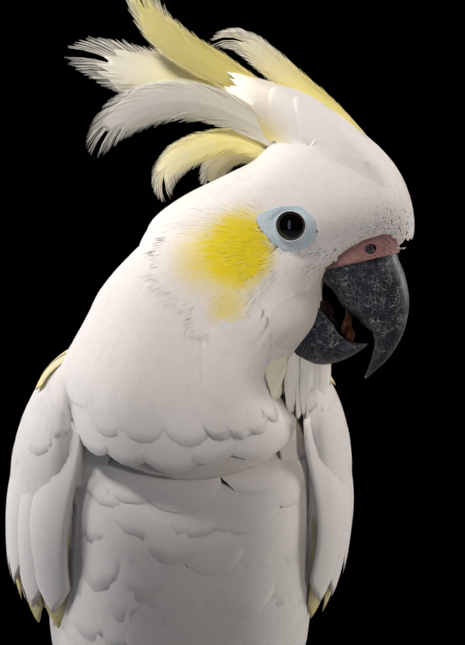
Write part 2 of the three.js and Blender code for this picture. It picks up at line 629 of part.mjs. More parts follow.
for (const [name, side] of Object.entries({ left: 1, right: -1 })) {
  const wing = wingSolids(side);
  addMesh(stance, `wing_${name}`, wing.arm, "plumage");
  addMesh(stance, `secondaries_${name}`, wing.secondaries, "plumage");
  addMesh(stance, `primaries_${name}`, wing.primaries, "plumage");
  addMesh(stance, `thigh_${name}`, thighSolid(side), "plumage");
  const footGroup = new THREE.Group();
  footGroup.position.set(side * footSide, footBack, 0);
  stance.add(footGroup);
  addMesh(footGroup, `foot_${name}`, footSolid(side), "foot");
  for (const [toe, shape] of Object.entries(toes)) {
    addMesh(footGroup, `claw_${name}_${toe}`, clawGeometry(shape, side), "claw");
  }
}

// The origin is the middle of the bird's box, on the floor.
const bounds = new THREE.Box3().setFromObject(bird, true);
const centre = bounds.getCenter(new THREE.Vector3());
stance.position.set(-centre.x, -centre.y, -bounds.min.z);

export default bird;
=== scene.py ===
import math

import bpy
import numpy as np
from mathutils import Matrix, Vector


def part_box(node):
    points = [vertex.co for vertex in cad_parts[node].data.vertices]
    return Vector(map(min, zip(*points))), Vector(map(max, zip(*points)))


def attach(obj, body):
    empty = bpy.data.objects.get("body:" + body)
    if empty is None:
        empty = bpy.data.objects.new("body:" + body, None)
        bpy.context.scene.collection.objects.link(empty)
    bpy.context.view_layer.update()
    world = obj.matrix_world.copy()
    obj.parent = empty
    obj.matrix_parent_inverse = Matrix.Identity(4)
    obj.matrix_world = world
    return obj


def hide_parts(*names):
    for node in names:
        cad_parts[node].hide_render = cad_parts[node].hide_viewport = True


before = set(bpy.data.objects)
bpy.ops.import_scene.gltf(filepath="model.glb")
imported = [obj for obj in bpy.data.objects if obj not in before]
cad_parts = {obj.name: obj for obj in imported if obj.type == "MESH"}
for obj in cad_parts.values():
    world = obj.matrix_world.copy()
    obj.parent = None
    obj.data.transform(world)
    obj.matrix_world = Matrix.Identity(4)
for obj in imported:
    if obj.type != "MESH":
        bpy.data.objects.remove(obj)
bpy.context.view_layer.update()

# Lengths are millimetres in the bird's own axes: +Z up, the bird faces -Y, +X is its left, the floor is at 0.
# They become metres in the frame's axes when a mesh is made.
tau = 2 * math.pi
sides = {"left": 1, "right": -1}
head = {"turn": 76, "middle": (34.8, -28, 281), "eyeOut": 15.6, "eyeRadius": 7.0, "eyeAt": (1.15, 0.98)}
headAngle = math.radians(head["turn"] - 90)
headAxes = np.array([
    [math.cos(headAngle), -math.sin(headAngle), 0],
    [math.sin(headAngle), math.cos(headAngle), 0],
    [0, 0, 1],
])


def toBird(points):
    # The head's own axes: +X to the bill, +Y the bird's left, origin between the eyes.
    return points @ headAxes.T + np.array(head["middle"])


def toHead(points):
    # From the bird's axes back to the head's.
    return (points - np.array(head["middle"])) @ headAxes


eyeBox = np.array([list(corner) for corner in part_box("eye_right")]) * 1000
shift = eyeBox.mean(0) - toBird(np.array([0, -head["eyeOut"], 0]))


# Curves and small sums on whole arrays

def sample(rows, t):
    # Cubic Hermite through rows [t, a, b, ...] with central-difference slopes; one array for each column.
    table = np.asarray(rows, float)
    knots = table[:, 0]
    last = len(knots) - 1
    order = np.arange(last + 1)
    before = np.maximum(order - 1, 0)
    after = np.minimum(order + 1, last)
    slopes = (table[after] - table[before]) / (knots[after] - knots[before])[:, None]
    x = np.clip(t, knots[0], knots[last])
    i = np.clip(np.searchsorted(knots, x, side="left") - 1, 0, last - 1)
    step = (knots[i + 1] - knots[i])[..., None]
    s = ((x - knots[i])[..., None]) / step
    start = (1 + 2 * s) * (1 - s) ** 2 * table[i] + s * (1 - s) ** 2 * step * slopes[i]
    end = s * s * (3 - 2 * s) * table[i + 1] + s * s * (s - 1) * step * slopes[i + 1]
    return np.moveaxis((start + end)[..., 1:], -1, 0)


def numbered(rows):
    # Puts each row's number in front of it.
    return [[i, *row] for i, row in enumerate(rows)]


def sampled(rows, v):
    # The same for v from 0 at the first row to 1 at the last.
    return sample(rows, v * (len(rows) - 1))


def circle(turn):
    # Cosine and sine of a turn from 0 to 1.
    return np.cos(turn * tau), np.sin(turn * tau)


def ringed(rings, sides, low=0.0, high=1.0):
    # v in even steps from end to end, and turn in even steps once round.
    return np.meshgrid(np.linspace(low, high, rings), np.arange(sides) / sides, indexing="ij")


def bent(value, power):
    # A sine or cosine bent towards a square or a diamond by the superellipse power.
    return np.sign(value) * np.abs(value) ** (2 / power)


def blend(a, b, share):
    return a + (b - a) * share


def smoothStep(low, high, value):
    # 3x^2 - 2x^3, with x running from 0 at low to 1 at high.
    x = np.clip((value - low) / (high - low), 0, 1)
    return x * x * (3 - 2 * x)


def unit(vectors):
    return vectors / np.maximum(np.linalg.norm(vectors, axis=-1, keepdims=True), 1e-9)


def xyz(*columns):
    return np.stack(np.broadcast_arrays(*columns), -1).astype(float)


def rotated(vectors, axes, angles):
    # Rodrigues: v cos a + (k x v) sin a + k (k . v)(1 - cos a).
    c = np.cos(angles)[..., None]
    s = np.sin(angles)[..., None]
    dot = (vectors * axes).sum(-1, keepdims=True)
    return vectors * c + np.cross(axes, vectors) * s + axes * dot * (1 - c)


# The forms that the feathers lie on: each is a function of v along, turn round and depth outwards

headRows = numbered([  # height, middle, front, back, half width, power of the front half
    [33, 8, 15, 2, 2, 2],
    [30.5, 8, 21, -3, 7, 2],
    [26, 6, 26.5, -9, 12, 2],
    [21, 2, 31, -15, 15.5, 2],
    [16, -3, 34.2, -25, 18.5, 2.1],
    [10, -8, 36.6, -37, 20.8, 2.1],
    [3.6, -10, 38, -46, 22.2, 1.7],
    [-2.5, -12, 38, -50, 23, 1.3],
    [-6.5, -13, 35.8, -52, 23.5, 1.15],
    [-8.7, -13, 29, -52, 23.7, 1.2],
    [-13, -14, 14, -52, 24, 1.7],
    [-19, -16, 8.5, -51, 24.4, 2],
    [-26, -17, 5.4, -50, 24.8, 2.1],
    [-34, -18, 3.6, -47, 25, 2.2],
    [-42, -20, 0, -43, 24, 2.2],
    [-50, -22, -6, -39, 20, 2],
    [-56, -24, -13, -34, 12, 2],
    [-59, -24, -20, -28, 4, 2],
])
neckRows = numbered([  # x, y, z, tilt, front, back, half width
    [6.7, -26, 282, 0, 3, 3, 3],
    [6.3, -26, 278, 0, 15, 15, 18],
    [5.8, -26, 270, 0, 21, 22, 27],
    [3.8, -26, 260.5, 0, 25, 26, 33],
    [1.3, -26, 252, 2, 28, 28, 34.8],
    [-2.2, -25.5, 243.5, 8, 31.5, 27.5, 35.8],
    [-4.2, -25, 236, 18, 35, 25.5, 37.6],
    [-2.2, -23.5, 230, 31, 38.5, 23.5, 40.2],
    [0, -20.5, 226, 43, 41, 21.5, 41.6],
    [0, -18, 224, 45, 39, 19.5, 39.6],
    [0, -17, 223.5, 45, 33, 16, 33.6],
])
trunkRows = numbered([
    [0, -4, 243, 34, 4, 5, 9],
    [0, -7, 239, 36, 12, 11, 21],
    [0, -13, 229, 39, 24, 21, 33],
    [0, -17, 217, 41, 34, 29, 39.5],
    [0, -11, 205, 41, 39.5, 32, 41.6],
    [0, 4, 188.5, 41, 43.5, 32, 43.2],
    [0, 26.5, 163, 42, 47, 31, 45],
    [0, 46.5, 140.5, 43, 47, 28.5, 45],
    [0, 63, 122, 44, 40.5, 24.5, 40.5],
    [0, 77, 107, 46, 28, 18, 31],
    [0, 91, 93, 48, 16, 12, 18.5],
    [0, 105, 79, 48, 8.5, 8, 12],
    [0, 113, 71, 48, 3.5, 3.5, 5.5],
])
wingRows = numbered([  # y, z, tilt, half width, front, back
    [-33, 238, 32, 36, 28, 22],
    [-24, 226, 38, 47, 36, 31],
    [-6, 206, 42, 54.5, 41, 38],
    [16, 184, 43, 56, 42, 40],
    [40, 161, 43, 55, 40, 39],
    [64, 137, 44, 47.5, 33, 35],
    [88, 109, 46, 37.5, 24, 27],
    [110, 82, 47, 28, 16, 19],
    [131, 57, 46, 20, 10, 13],
    [150, 37, 44, 13, 6, 8],
])
armRows = [  # place, ventral edge, dorsal edge, thickness
    [0, 100, 112, 3],
    [0.4, 80, 138, 8],
    [1, 60, 156, 11],
    [2, 50, 166, 12.5],
    [3, 46, 166, 11.5],
    [3.5, 46, 162, 10],
    [3.9, 51, 146, 8],
    [4.3, 66, 104, 3],
]
held = {1: {"turn": 4, "out": 0.6}, -1: {"turn": -2, "out": 3}}
thighRows = numbered([  # x from the middle, y, z, half width, half depth
    [22, 38, 130, 11, 16],
    [22, 35, 117, 19, 26],
    [22, 31, 95, 20.5, 27],
    [22, 30, 74, 17.5, 22],
    [22, 32, 54, 12.6, 15],
    [22, 34.5, 38, 8.8, 9.8],
    [22, 35.5, 32, 6.4, 7],
])


def headForm(v, turn, depth=0.0):
    # Level superellipse sections, front half and back half of their own reach, in the head's axes.
    height, middle, front, back, half, power = sampled(headRows, v)
    c, s = circle(turn)
    ahead = c > 0
    reach = np.where(ahead, front - middle, middle - back) + depth
    bend = np.where(ahead, power, 2.1)
    lift = depth * np.where(v < 0.5, 1, -1) * np.abs(2 * v - 1)
    cheek = 5.0 * np.exp(-((height + 31) / 8.5) ** 2) * smoothStep(-0.1, 1.0, c)
    return xyz(middle + reach * bent(c, bend) + cheek, (half + depth) * bent(s, bend), height + lift)


def sectionForm(rows):
    # Superellipse sections round a spine, each tilted with its front down.
    def form(v, turn, depth=0.0):
        x, y, z, tilt, front, back, half = sampled(rows, v)
        c, s = circle(turn)
        reach = (np.where(c > 0, front, back) + depth) * bent(c, 2.1)
        down = np.radians(tilt)
        along = depth * (2 * v - 1)
        return xyz(
            x + (half + depth) * bent(s, 2.1),
            y - np.cos(down) * reach + np.sin(down) * along,
            z - np.sin(down) * reach - np.cos(down) * along,
        )
    return form


def wingForm(t, angle, depth, side):
    # A shell round the trunk: t counts wingRows, angle is 0 at the breast and 180 on the back.
    y, z, tilt, half, front, back = sample(wingRows, t)
    turned = np.radians(angle + held[side]["turn"] * np.clip((120 - angle) / 60, 0, 1))
    c = np.cos(turned)
    s = np.sin(turned)
    reach = np.where(c > 0, front + depth, back + depth) * c
    down = np.radians(tilt)
    breadth = half + depth + held[side]["out"] * np.clip(6 - t, 0, 1)
    return xyz(side * breadth * s, y - np.cos(down) * reach, z - np.sin(down) * reach)


def armForm(side):
    # A flat tube on the wing's shell: turn 0 is its ventral edge, 0.25 its outer face, 0.5 its dorsal edge.
    def form(v, turn, depth=0.0):
        t = v * 4.3
        low, high, thick = sample(armRows, t)
        c, s = circle(turn)
        across = (1 - c) / 2
        swell = thick * (1 - 0.62 * across)
        angle = blend(low, high, across) - c * depth * 1.4
        return wingForm(t, angle, -swell / 2 + s * (swell / 2 + depth), side)
    return form


def thighForm(side):
    # Upright tube of level ovals: half width times the cosine, half depth times the sine.
    def form(v, turn, depth=0.0):
        x, y, z, half, deep = sampled(thighRows, v)
        c, s = circle(turn)
        return xyz(side * (x + c * (half + depth)), y + s * (deep + depth), z)
    return form


plainNeck = sectionForm(neckRows)


def neckForm(v, turn, depth=0.0):
    # The neck's sections, drawn in a little on the bird's left where the throat feathers hang.
    points = plainNeck(v, turn, depth)
    dent = 6.5 * np.exp(-((points[..., 2] - 231) / 9) ** 2) * smoothStep(12, 34, points[..., 0])
    points[..., 0] -= dent
    return points


def evenly(form, at):
    # The same surface with its turn stretched, so that equal steps of it are equal lengths round one section.
    ring = np.linspace(-0.6, 1.6, 1101)
    line = form(np.full(len(ring), at), ring)
    reach = np.append(0, np.cumsum(np.linalg.norm(np.diff(line, axis=0), axis=1)))
    start = np.interp(0, ring, reach)
    total = np.interp(1, ring, reach) - start

    def even(v, turn, depth=0.0):
        return form(v, np.interp(start + turn * total, reach, ring), depth)
    return even


trunkForm = sectionForm(trunkRows)
capRows = numbered([  # x, z, heading, up, down, half width, in the head's axes
    [30, 7, 100, 3, 4, 5],
    [29, 13, 112, 4.2, 10, 11],
    [24, 20.5, 128, 4.2, 14, 14],
    [17, 27, 138, 4.6, 16, 14.5],
    [9, 32.5, 145, 5.4, 16, 13],
    [1, 37.5, 150, 5.6, 15, 11],
    [-7, 41.5, 154, 4.6, 13, 8.5],
    [-14, 44.5, 156, 3, 8, 5.5],
    [-19, 46.5, 156, 1, 2.5, 2],
])


def capForm(v, turn, depth=0.0):
    # The mound of feathers over the brow from which the crest rises: turn 0 is its ridge.
    x, z, heading, up, down, half = sampled(capRows, v)
    c, s = circle(turn)
    reach = (np.where(c > 0, up, down) + depth) * bent(c, 2.2)
    along = depth * (2 * v - 1)
    angle = np.radians(heading)
    return xyz(
        x + np.sin(angle) * reach + np.cos(angle) * along,
        (half + depth) * bent(s, 2.2),
        z - np.cos(angle) * reach + np.sin(angle) * along,
    )


def hangingForm(form, edge):
    # Past the edge the surface runs on straight, as the free tips of a ruff do.
    def hanging(v, turn, depth=0.0):
        within = np.minimum(v, edge)
        here = form(within, turn, depth)
        slope = (here - form(within - 0.01, turn, depth)) / 0.01
        return here + slope * np.maximum(v - edge, 0)[..., None]
    return hanging


def headSection(x, z):
    # The section at height z: its middle, its reach on the half that holds x, its half width and its power.
    table = np.array(headRows)
    middle, front, back, half, power = sample(headRows, np.interp(-z, -table[:, 1], table[:, 0]))[1:]
    ahead = x > middle
    return middle, np.where(ahead, front - middle, middle - back), half, np.where(ahead, power, 2.1)


def headSum(x, y, z):
    # |(x - middle) / reach| ** bend + |y / half| ** bend, which is 1 on the head's form.
    middle, reach, half, bend = headSection(x, z)
    return np.abs((x - middle) / reach) ** bend + np.abs(y / half) ** bend, middle, bend


def headSide(x, z):
    # Half width of the head's form at a point of its side: the superellipse solved for y.
    middle, reach, half, bend = headSection(x, z)
    return half * (1 - np.clip(np.abs((x - middle) / reach), 0, 1) ** bend) ** (1 / bend)


def insideHead(points):
    # Below 1 inside the head, and 9 above and below it.
    x, y, z = np.moveaxis(toHead(points), -1, 0)
    return np.where((z > 33) | (z < -59), 9, headSum(x, y, z)[0])


def settled(points):
    # Brings points near the head onto its form, along level rays from each section's middle.
    x, y, z = np.moveaxis(points, -1, 0)
    total, middle, bend = headSum(x, y, z)
    scale = np.maximum(total, 0.2) ** (-1 / bend)
    return xyz(middle + (x - middle) * scale, y * scale, z)


def insideCap(points):
    # True where a point in the head's axes is inside the mound, by the section whose plane holds it.
    place = np.linspace(0, len(capRows) - 1, 60)
    x, z, heading, up, down, half = sample(capRows, place)
    angle = np.radians(heading)
    offX = points[:, None, 0] - x
    offZ = points[:, None, 2] - z
    along = np.abs(offX * np.cos(angle) + offZ * np.sin(angle))
    best = along.argmin(1)
    reach = (offX * np.sin(angle) - offZ * np.cos(angle))[np.arange(len(points)), best]
    limit = np.where(reach > 0, up[best], down[best])
    total = np.abs(reach / limit) ** 2.2 + np.abs(points[:, 1] / half[best]) ** 2.2
    return (total < 0.94) & (along.min(1) < 2)


def insideSections(rows, points):
    # Below 1 inside tilted sections: the section whose plane holds the point is found among many.
    place = np.linspace(0, len(rows) - 1, 90)
    x, y, z, tilt, front, back, half = sample(rows, place)
    down = np.radians(tilt)
    off = (points[:, None, 1] - y) * np.sin(down) - (points[:, None, 2] - z) * np.cos(down)
    best = np.abs(off).argmin(1)
    gap = np.abs(off).min(1)
    reach = -(points[:, 1] - y[best]) * np.cos(down[best]) - (points[:, 2] - z[best]) * np.sin(down[best])
    limit = np.where(reach > 0, front[best], back[best])
    total = np.abs(reach / limit) ** 2.1 + np.abs((points[:, 0] - x[best]) / half[best]) ** 2.1
    return np.where(gap > 3, 9, total)


# Meshes

def ringQuads(index):
    # Quads between rings of point numbers (rings, sides).
    beside = np.roll(index, -1, axis=1)
    return np.stack([index[:-1], beside[:-1], beside[1:], index[1:]], -1).reshape(-1, 4)


def tubePart(grid):
    # Quads between rings of points (rings, sides, 3), closed by fans to the middle of each end ring.
    rings, sides = grid.shape[:2]
    index = np.arange(rings * sides).reshape(rings, sides)
    beside = np.roll(index, -1, axis=1)
    first = np.stack([np.full(sides, rings * sides), beside[0], index[0]], -1)
    last = np.stack([np.full(sides, rings * sides + 1), index[-1], beside[-1]], -1)
    points = np.concatenate([grid.reshape(-1, 3), grid[0].mean(0)[None], grid[-1].mean(0)[None]])
    along, around = ringed(rings, sides)
    along = np.append(along.ravel(), [0, 1])
    around = np.append(around.ravel(), [0, 0])
    part = {"points": points, "quads": ringQuads(index), "tris": np.concatenate([first, last])}
    return facingOut(dict(part, along=along, around=around))


def formPart(form, rings, sides, depth=0.0, low=0.0, high=1.0, toWorld=None):
    # A closed tube sampled from a form.
    v, turn = ringed(rings, sides, low, high)
    grid = form(v, turn, depth)
    return tubePart(toWorld(grid) if toWorld else grid)


def facingOut(part):
    # The signed volume tells whether the faces look out; if not, each face is turned round.
    points = part["points"]
    quads = part["quads"]
    tris = np.concatenate([quads[:, [0, 1, 2]], quads[:, [0, 2, 3]], part["tris"]])
    a, b, c = points[tris[:, 0]], points[tris[:, 1]], points[tris[:, 2]]
    if (a * np.cross(b, c)).sum() < 0:
        part["quads"] = quads[:, ::-1]
        part["tris"] = part["tris"][:, ::-1]
    return part


def joinParts(parts):
    # One part from several; columns that only some of them have are filled with zeros.
    base = np.cumsum([0] + [len(part["points"]) for part in parts])
    names = {name for part in parts for name in part if name not in ("points", "quads", "tris")}
    joined = {
        "points": np.concatenate([part["points"] for part in parts]),
        "quads": np.concatenate([part["quads"] + start for part, start in zip(parts, base)]),
        "tris": np.concatenate([part["tris"] + start for part, start in zip(parts, base)]),
    }
    for name in names:
        width = next(part[name].shape[1:] for part in parts if name in part)
        filled = [part.get(name, np.zeros((len(part["points"]), *width))) for part in parts]
        joined[name] = np.concatenate(filled)
    return joined


def linked(name, data):
    # A new object in the scene.
    thing = bpy.data.objects.new(name, data)
    bpy.context.scene.collection.objects.link(thing)
    return thing


def placePiece(name, mesh, replaces):
    piece = linked(name, mesh)
    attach(piece, "root")
    if replaces:
        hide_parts(*replaces)
    return piece


def makePiece(name, part, finish, replaces=()):
    # Puts a part's arrays into a mesh, with its faces outwards.
    part = facingOut(part)
    mesh = bpy.data.meshes.new(name)
    points = (part["points"] + shift) * 0.001
    quads = part["quads"]
    tris = part["tris"]
    corners = np.concatenate([quads.ravel(), tris.ravel()]).astype(np.int32)
    starts = np.concatenate([np.arange(len(quads)) * 4, len(quads) * 4 + np.arange(len(tris)) * 3])
    mesh.vertices.add(len(points))
    mesh.vertices.foreach_set("co", points.astype(np.float32).ravel())
    mesh.loops.add(len(corners))
    mesh.loops.foreach_set("vertex_index", corners)
    mesh.polygons.add(len(starts))
    mesh.polygons.foreach_set("loop_start", starts.astype(np.int32))
    mesh.update(calc_edges=True)
    mesh.validate()
    addColumns(mesh, part)
    mesh.materials.append(finish)
    return placePiece(name, mesh, replaces)


def softened(piece, share):
    # Shading follows the skin's roundness by the given share, so that soft feathers don't look like tiles.
    carry = piece.modifiers.new("soft", "DATA_TRANSFER")
    carry.object = bpy.data.objects["skin"]
    carry.use_loop_data = True
    carry.data_types_loops = {"CUSTOM_NORMAL"}
    carry.loop_mapping = "POLYINTERP_NEAREST"
    carry.mix_mode = "REPLACE"
    carry.mix_factor = share
    group = piece.vertex_groups.new(name="upper")
    sheet = np.zeros(len(piece.data.vertices), np.float32)
    piece.data.attributes["sheet"].data.foreach_get("value", sheet)
    group.add(np.nonzero(sheet >= 0)[0].tolist(), 1.0, "REPLACE")
    carry.vertex_group = "upper"
    shaded = bpy.data.meshes.new_from_object(piece.evaluated_get(bpy.context.evaluated_depsgraph_get()))
    name = piece.data.name
    piece.modifiers.clear()
    piece.vertex_groups.clear()
    old = piece.data
    piece.data = shaded
    bpy.data.meshes.remove(old)
    shaded.name = name


def remade(name, parts, finish, look, marksOf, replaces):
    # The parts are joined, remade as one surface from voxels and smoothed. marksOf gets its points in metres,
    # may move them, and gives their marks.
    joined = joinParts([{key: part[key] for key in ("points", "quads", "tris")} for part in parts])
    rough = makePiece(name + "_rough", joined, finish)
    remesh = rough.modifiers.new("voxels", "REMESH")
    remesh.mode = "VOXEL"
    remesh.voxel_size = look["voxel"]
    smooth = rough.modifiers.new("smooth", "SMOOTH")
    smooth.factor = 0.5
    smooth.iterations = look["smooth"]
    mesh = bpy.data.meshes.new_from_object(rough.evaluated_get(bpy.context.evaluated_depsgraph_get()))
    bpy.data.objects.remove(rough)
    mesh.name = name
    points = np.zeros(len(mesh.vertices) * 3, np.float32)
    mesh.vertices.foreach_get("co", points)
    points = points.reshape(-1, 3)
    marks = marksOf(points)
    mesh.vertices.foreach_set("co", points.ravel())
    addColumns(mesh, {"marks": marks})
    placePiece(name, mesh, replaces)
    print(name, len(points), "vertices")


def addColumns(mesh, part):
    # "vane" and "OFBake" become UV maps, "sheet" a number and "marks" a colour at each vertex.
    mesh.polygons.foreach_set("use_smooth", np.ones(len(mesh.polygons), bool))
    corners = np.zeros(len(mesh.loops), np.int32)
    mesh.loops.foreach_get("vertex_index", corners)
    for name in ("vane", "OFBake"):
        if name in part:
            layer = mesh.uv_layers.new(name=name)
            layer.data.foreach_set("uv", part[name][corners].astype(np.float32).ravel())
    if "sheet" in part:
        sheet = mesh.attributes.new("sheet", "FLOAT", "POINT")
        sheet.data.foreach_set("value", part["sheet"].astype(np.float32).ravel())
    if "marks" in part:
        marks = mesh.color_attributes.new("marks", "FLOAT_COLOR", "POINT")
        filled = np.concatenate([part["marks"], np.ones((len(part["marks"]), 1))], 1)
        marks.data.foreach_set("color", filled.astype(np.float32).ravel())


def coat(name, part, finish, share):
    # A piece of the coat, shaded by the given share as the skin under it.
    softened(makePiece(name, part, finish), share)


# Feathers

def vaneGrid(rings, columns):
    # Two sheets that share their rim: s is 0 at the root and 1 at the tip, u is -1 to 1 across.
    i, j = np.meshgrid(np.arange(rings + 1), np.arange(columns + 1), indexing="ij")
    rim = (i == 0) | (i == rings) | (j == 0) | (j == columns)
    upper = np.arange(i.size).reshape(i.shape)
    lower = upper.copy()
    lower[~rim] = i.size + np.arange((~rim).sum())

    def quadsOf(index):
        return np.stack([index[:-1, :-1], index[1:, :-1], index[1:, 1:], index[:-1, 1:]], -1).reshape(-1, 4)

    s = np.append(i.ravel(), i[~rim]) / rings
    column = np.append(j.ravel(), j[~rim])
    sheet = np.append(np.where(rim, 0, 1).ravel(), -np.ones((~rim).sum()))
    quads = np.concatenate([quadsOf(upper), quadsOf(lower)[:, [0, 3, 2, 1]]])  # one diagonal on both sheets
    return {"s": s, "u": 2 * column / columns - 1, "column": column, "sheet": sheet, "quads": quads}


def vaneShape(length, width, look, seed):
    # Along: s times the column's end, which is rounded off by |u| and frayed. Across: u times half the width,
    # narrowed at the root. Lift: from the root's depth to the tip's, thinner and lower towards the edges.
    grid = vaneGrid(look["rings"], look["columns"])
    dice = np.random.default_rng(seed)
    s = grid["s"][None]
    u = grid["u"][None]
    length = np.asarray(length)[:, None]
    width = np.asarray(width)[:, None]
    fray = 1 - look.get("fray", 0.03) * dice.random((len(length), look["columns"] + 1))
    end = (1 - look.get("round", 0.4) * np.abs(u) ** look.get("blunt", 2.2)) * fray[:, grid["column"]]
    along = s * end * length
    narrow = blend(look.get("root", 0.4), 1, np.sin(np.minimum(s / look.get("full", 0.5), 1) * np.pi / 2))
    narrow = narrow * (1 - look.get("taper", 0.0) * s ** 2)
    across = u * narrow * width / 2
    rise = blend(look["deep"], look["high"], s ** look.get("rise", 0.8))
    middle = look.get("shaft", 0.0) * np.exp(-(u / 0.12) ** 2) * (1 - s)
    cup = look.get("cup", 0.08) * width * np.abs(u) ** 2.4 * np.minimum(s * 2, 1)
    tuck = look.get("tuck", 0.0) * width * smoothStep(0.6, 1.0, s) ** 1.5
    lift = rise - cup - tuck + middle + grid["sheet"] * look.get("thick", 0.2) / 2 * (1 - 0.5 * s)
    lift = lift + look.get("curl", 0.0) * s ** 3 * dice.random((len(length), 1)) ** 2
    lift = lift + look.get("uneven", 0.0) * s * dice.uniform(-1, 1, (len(length), 1))
    return {"along": along, "across": across, "lift": lift, "grid": grid, "seed": seed}


def stripMap(count, grid):
    # A strip of the map for each long feather: its length up the map, its width across its own strip.
    half = np.where(grid["sheet"] < 0, 0.22, 0.44)
    x = (np.arange(count)[:, None] + 0.5 + half * grid["u"][None]) / count
    y = np.broadcast_to(0.02 + 0.96 * grid["s"][None], x.shape)
    return np.stack([x, y], -1).reshape(-1, 2)


def finishVanes(points, shape, yellow, place=None):
    # marks: yellow, a tone of the feather's own, how far along it is. vane: millimetres along and across.
    # OFBake: a speck of the map at the feather's place on its form, or a strip for each if none is given.
    count, each = points.shape[:2]
    grid = shape["grid"]
    tone = np.random.default_rng(shape["seed"] + 100).random((count, 1))
    quads = grid["quads"][None] + (np.arange(count) * each)[:, None, None]
    s = np.broadcast_to(grid["s"][None], (count, each))
    u = np.broadcast_to(grid["u"][None], (count, each))
    marks = xyz(yellow, tone, s)
    if place is None:
        bake = stripMap(count, grid)
    else:
        bake = np.asarray(place)[:, None] * 0.96 + 0.02 + 0.0015 * np.stack([u, 2 * s - 1], -1)
    vane = np.stack([shape["along"] + 31 * tone, shape["across"]], -1)
    return {
        "points": points.reshape(-1, 3),
        "quads": quads.reshape(-1, 4),
        "tris": np.zeros((0, 3), int),
        "vane": vane.reshape(-1, 2),
        "OFBake": bake.reshape(-1, 2),
        "marks": marks.reshape(-1, 3),
        "sheet": np.broadcast_to(grid["sheet"][None], (count, each)).ravel(),
    }


def moves(form, v, turn, step):
    # The surface's point and how far it goes for one small step of v and of turn.
    here = form(v, turn)
    return here, form(v + step, turn) - here, form(v, turn + step) - here


def speeds(form, v, turn):
    # Millimetres per unit of v and of turn.
    step = 0.004
    return [np.maximum(np.linalg.norm(move, axis=-1) / step, 1) for move in moves(form, v, turn, step)[1:]]


def rowRoots(form, look, seed):
    # Rows of roots across the surface, each row's feathers set between those of the row before.
    dice = np.random.default_rng(seed)
    growth = np.array(look["growth"], float)  # v, length, width
    lowTurn, highTurn = look.get("turns", (0.0, 1.0))
    ring = np.linspace(lowTurn, highTurn, 60)
    v = growth[0, 0]
    rows = []
    while v < growth[-1, 0]:
        length = np.interp(v, growth[:, 0], growth[:, 1])
        width = np.interp(v, growth[:, 0], growth[:, 2])
        line = form(np.full(60, v), ring, 0.0)
        gaps = np.linalg.norm(np.diff(line, axis=0), axis=1)
        reach = np.append(0, np.cumsum(gaps))
        count = max(int(reach[-1] / (width * look["pitch"])), 3)
        at = (np.arange(count) + 0.5 * (len(rows) % 2) + dice.uniform(-0.18, 0.18, count)) / count
        turn = np.interp(at % 1.0, reach / reach[-1], ring)
        ones = np.ones(count)
        rows.append(np.stack([v + 0 * ones, turn, length * ones, width * ones]))
        v += look["step"] * length / np.median(speeds(form, np.full(60, v), ring)[0])
    v, turn, length, width = np.concatenate(rows, 1)
    count = len(v)
    speed = speeds(form, v, turn)[0]
    stretch = np.clip(speed / np.median(speed), 0.75, 1.5)
    jitter = look.get("jitter", 0.12) * dice.uniform(-1, 1, count)
    return {
        "v": v + jitter * look["step"] * length / speed,
        "turn": turn,
        "length": length * stretch ** look.get("stretch", 0.6) * dice.uniform(0.93, 1.07, count),
        "width": width * dice.uniform(0.88, 1.12, count),
        "lean": np.radians(look.get("lean", 0.0) + dice.normal(0, look.get("stray", 3.0), count)),
    }


def kept(roots, keep):
    # The roots where keep is true.
    return {name: column[keep] for name, column in roots.items()}


def layFeathers(form, roots, look, seed, yellow=0.0, toWorld=None):
    # The vane is wrapped on the form: millimetres along and across become steps of v and turn.
    shape = vaneShape(roots["length"], roots["width"], look, seed)
    alongV, alongT = speeds(form, roots["v"], roots["turn"])
    c = np.cos(roots["lean"])[:, None]
    s = np.sin(roots["lean"])[:, None]
    v = roots["v"][:, None] + (shape["along"] * c - shape["across"] * s) / alongV[:, None]
    turn = roots["turn"][:, None] + (shape["along"] * s + shape["across"] * c) / alongT[:, None]
    points = form(v, turn, shape["lift"])
    if toWorld:
        points = toWorld(points)
    place = np.stack([roots["turn"] % 1.0, np.clip(roots["v"], 0, 1)], -1)
    return finishVanes(points, shape, yellow(points) if callable(yellow) else np.asarray(yellow), place)


def spread(form, count, low=(0.0, 0.0), high=(1.0, 1.0)):
    # Golden-ratio points pushed through the running sum of the surface's area, so that they lie evenly.
    n = 150
    vLine = low[0] + (np.arange(n) + 0.5) / n * (high[0] - low[0])
    tLine = low[1] + (np.arange(n) + 0.5) / n * (high[1] - low[1])
    v, turn = np.meshgrid(vLine, tLine, indexing="ij")
    alongV, alongT = moves(form, v, turn, 0.003)[1:]
    area = np.linalg.norm(np.cross(alongV, alongT), axis=-1) + 1e-9
    rows = np.append(0, np.cumsum(area.sum(1)))
    inRow = np.cumsum(area, 1) / area.sum(1, keepdims=True)
    k = np.arange(1, count + 1)
    a = (k * 0.7548776662) % 1
    b = (k * 0.5698402910) % 1
    vPlace = np.interp(a, rows / rows[-1], np.linspace(low[0], high[0], n + 1))
    i = np.clip(((vPlace - low[0]) / (high[0] - low[0]) * n).astype(int), 0, n - 1)
    j = np.clip(np.searchsorted((inRow + np.arange(n)[:, None]).ravel(), i + b) - i * n, 0, n - 1)
    before = np.where(j > 0, inRow[i, np.maximum(j - 1, 0)], 0)
    within = (b - before) / np.maximum(inRow[i, j] - before, 1e-9)
    return vPlace, low[1] + (j + within) / n * (high[1] - low[1])


def normals(form, v, turn):
    # Cross product of the surface's two slopes, turned to its outer side.
    e = 0.004
    across = np.cross(form(v + e, turn) - form(v - e, turn), form(v, turn + e) - form(v, turn - e))
    outward = form(v, turn, 1.0) - form(v, turn, 0.0)
    return unit(across * np.sign((across * outward).sum(-1, keepdims=True)))


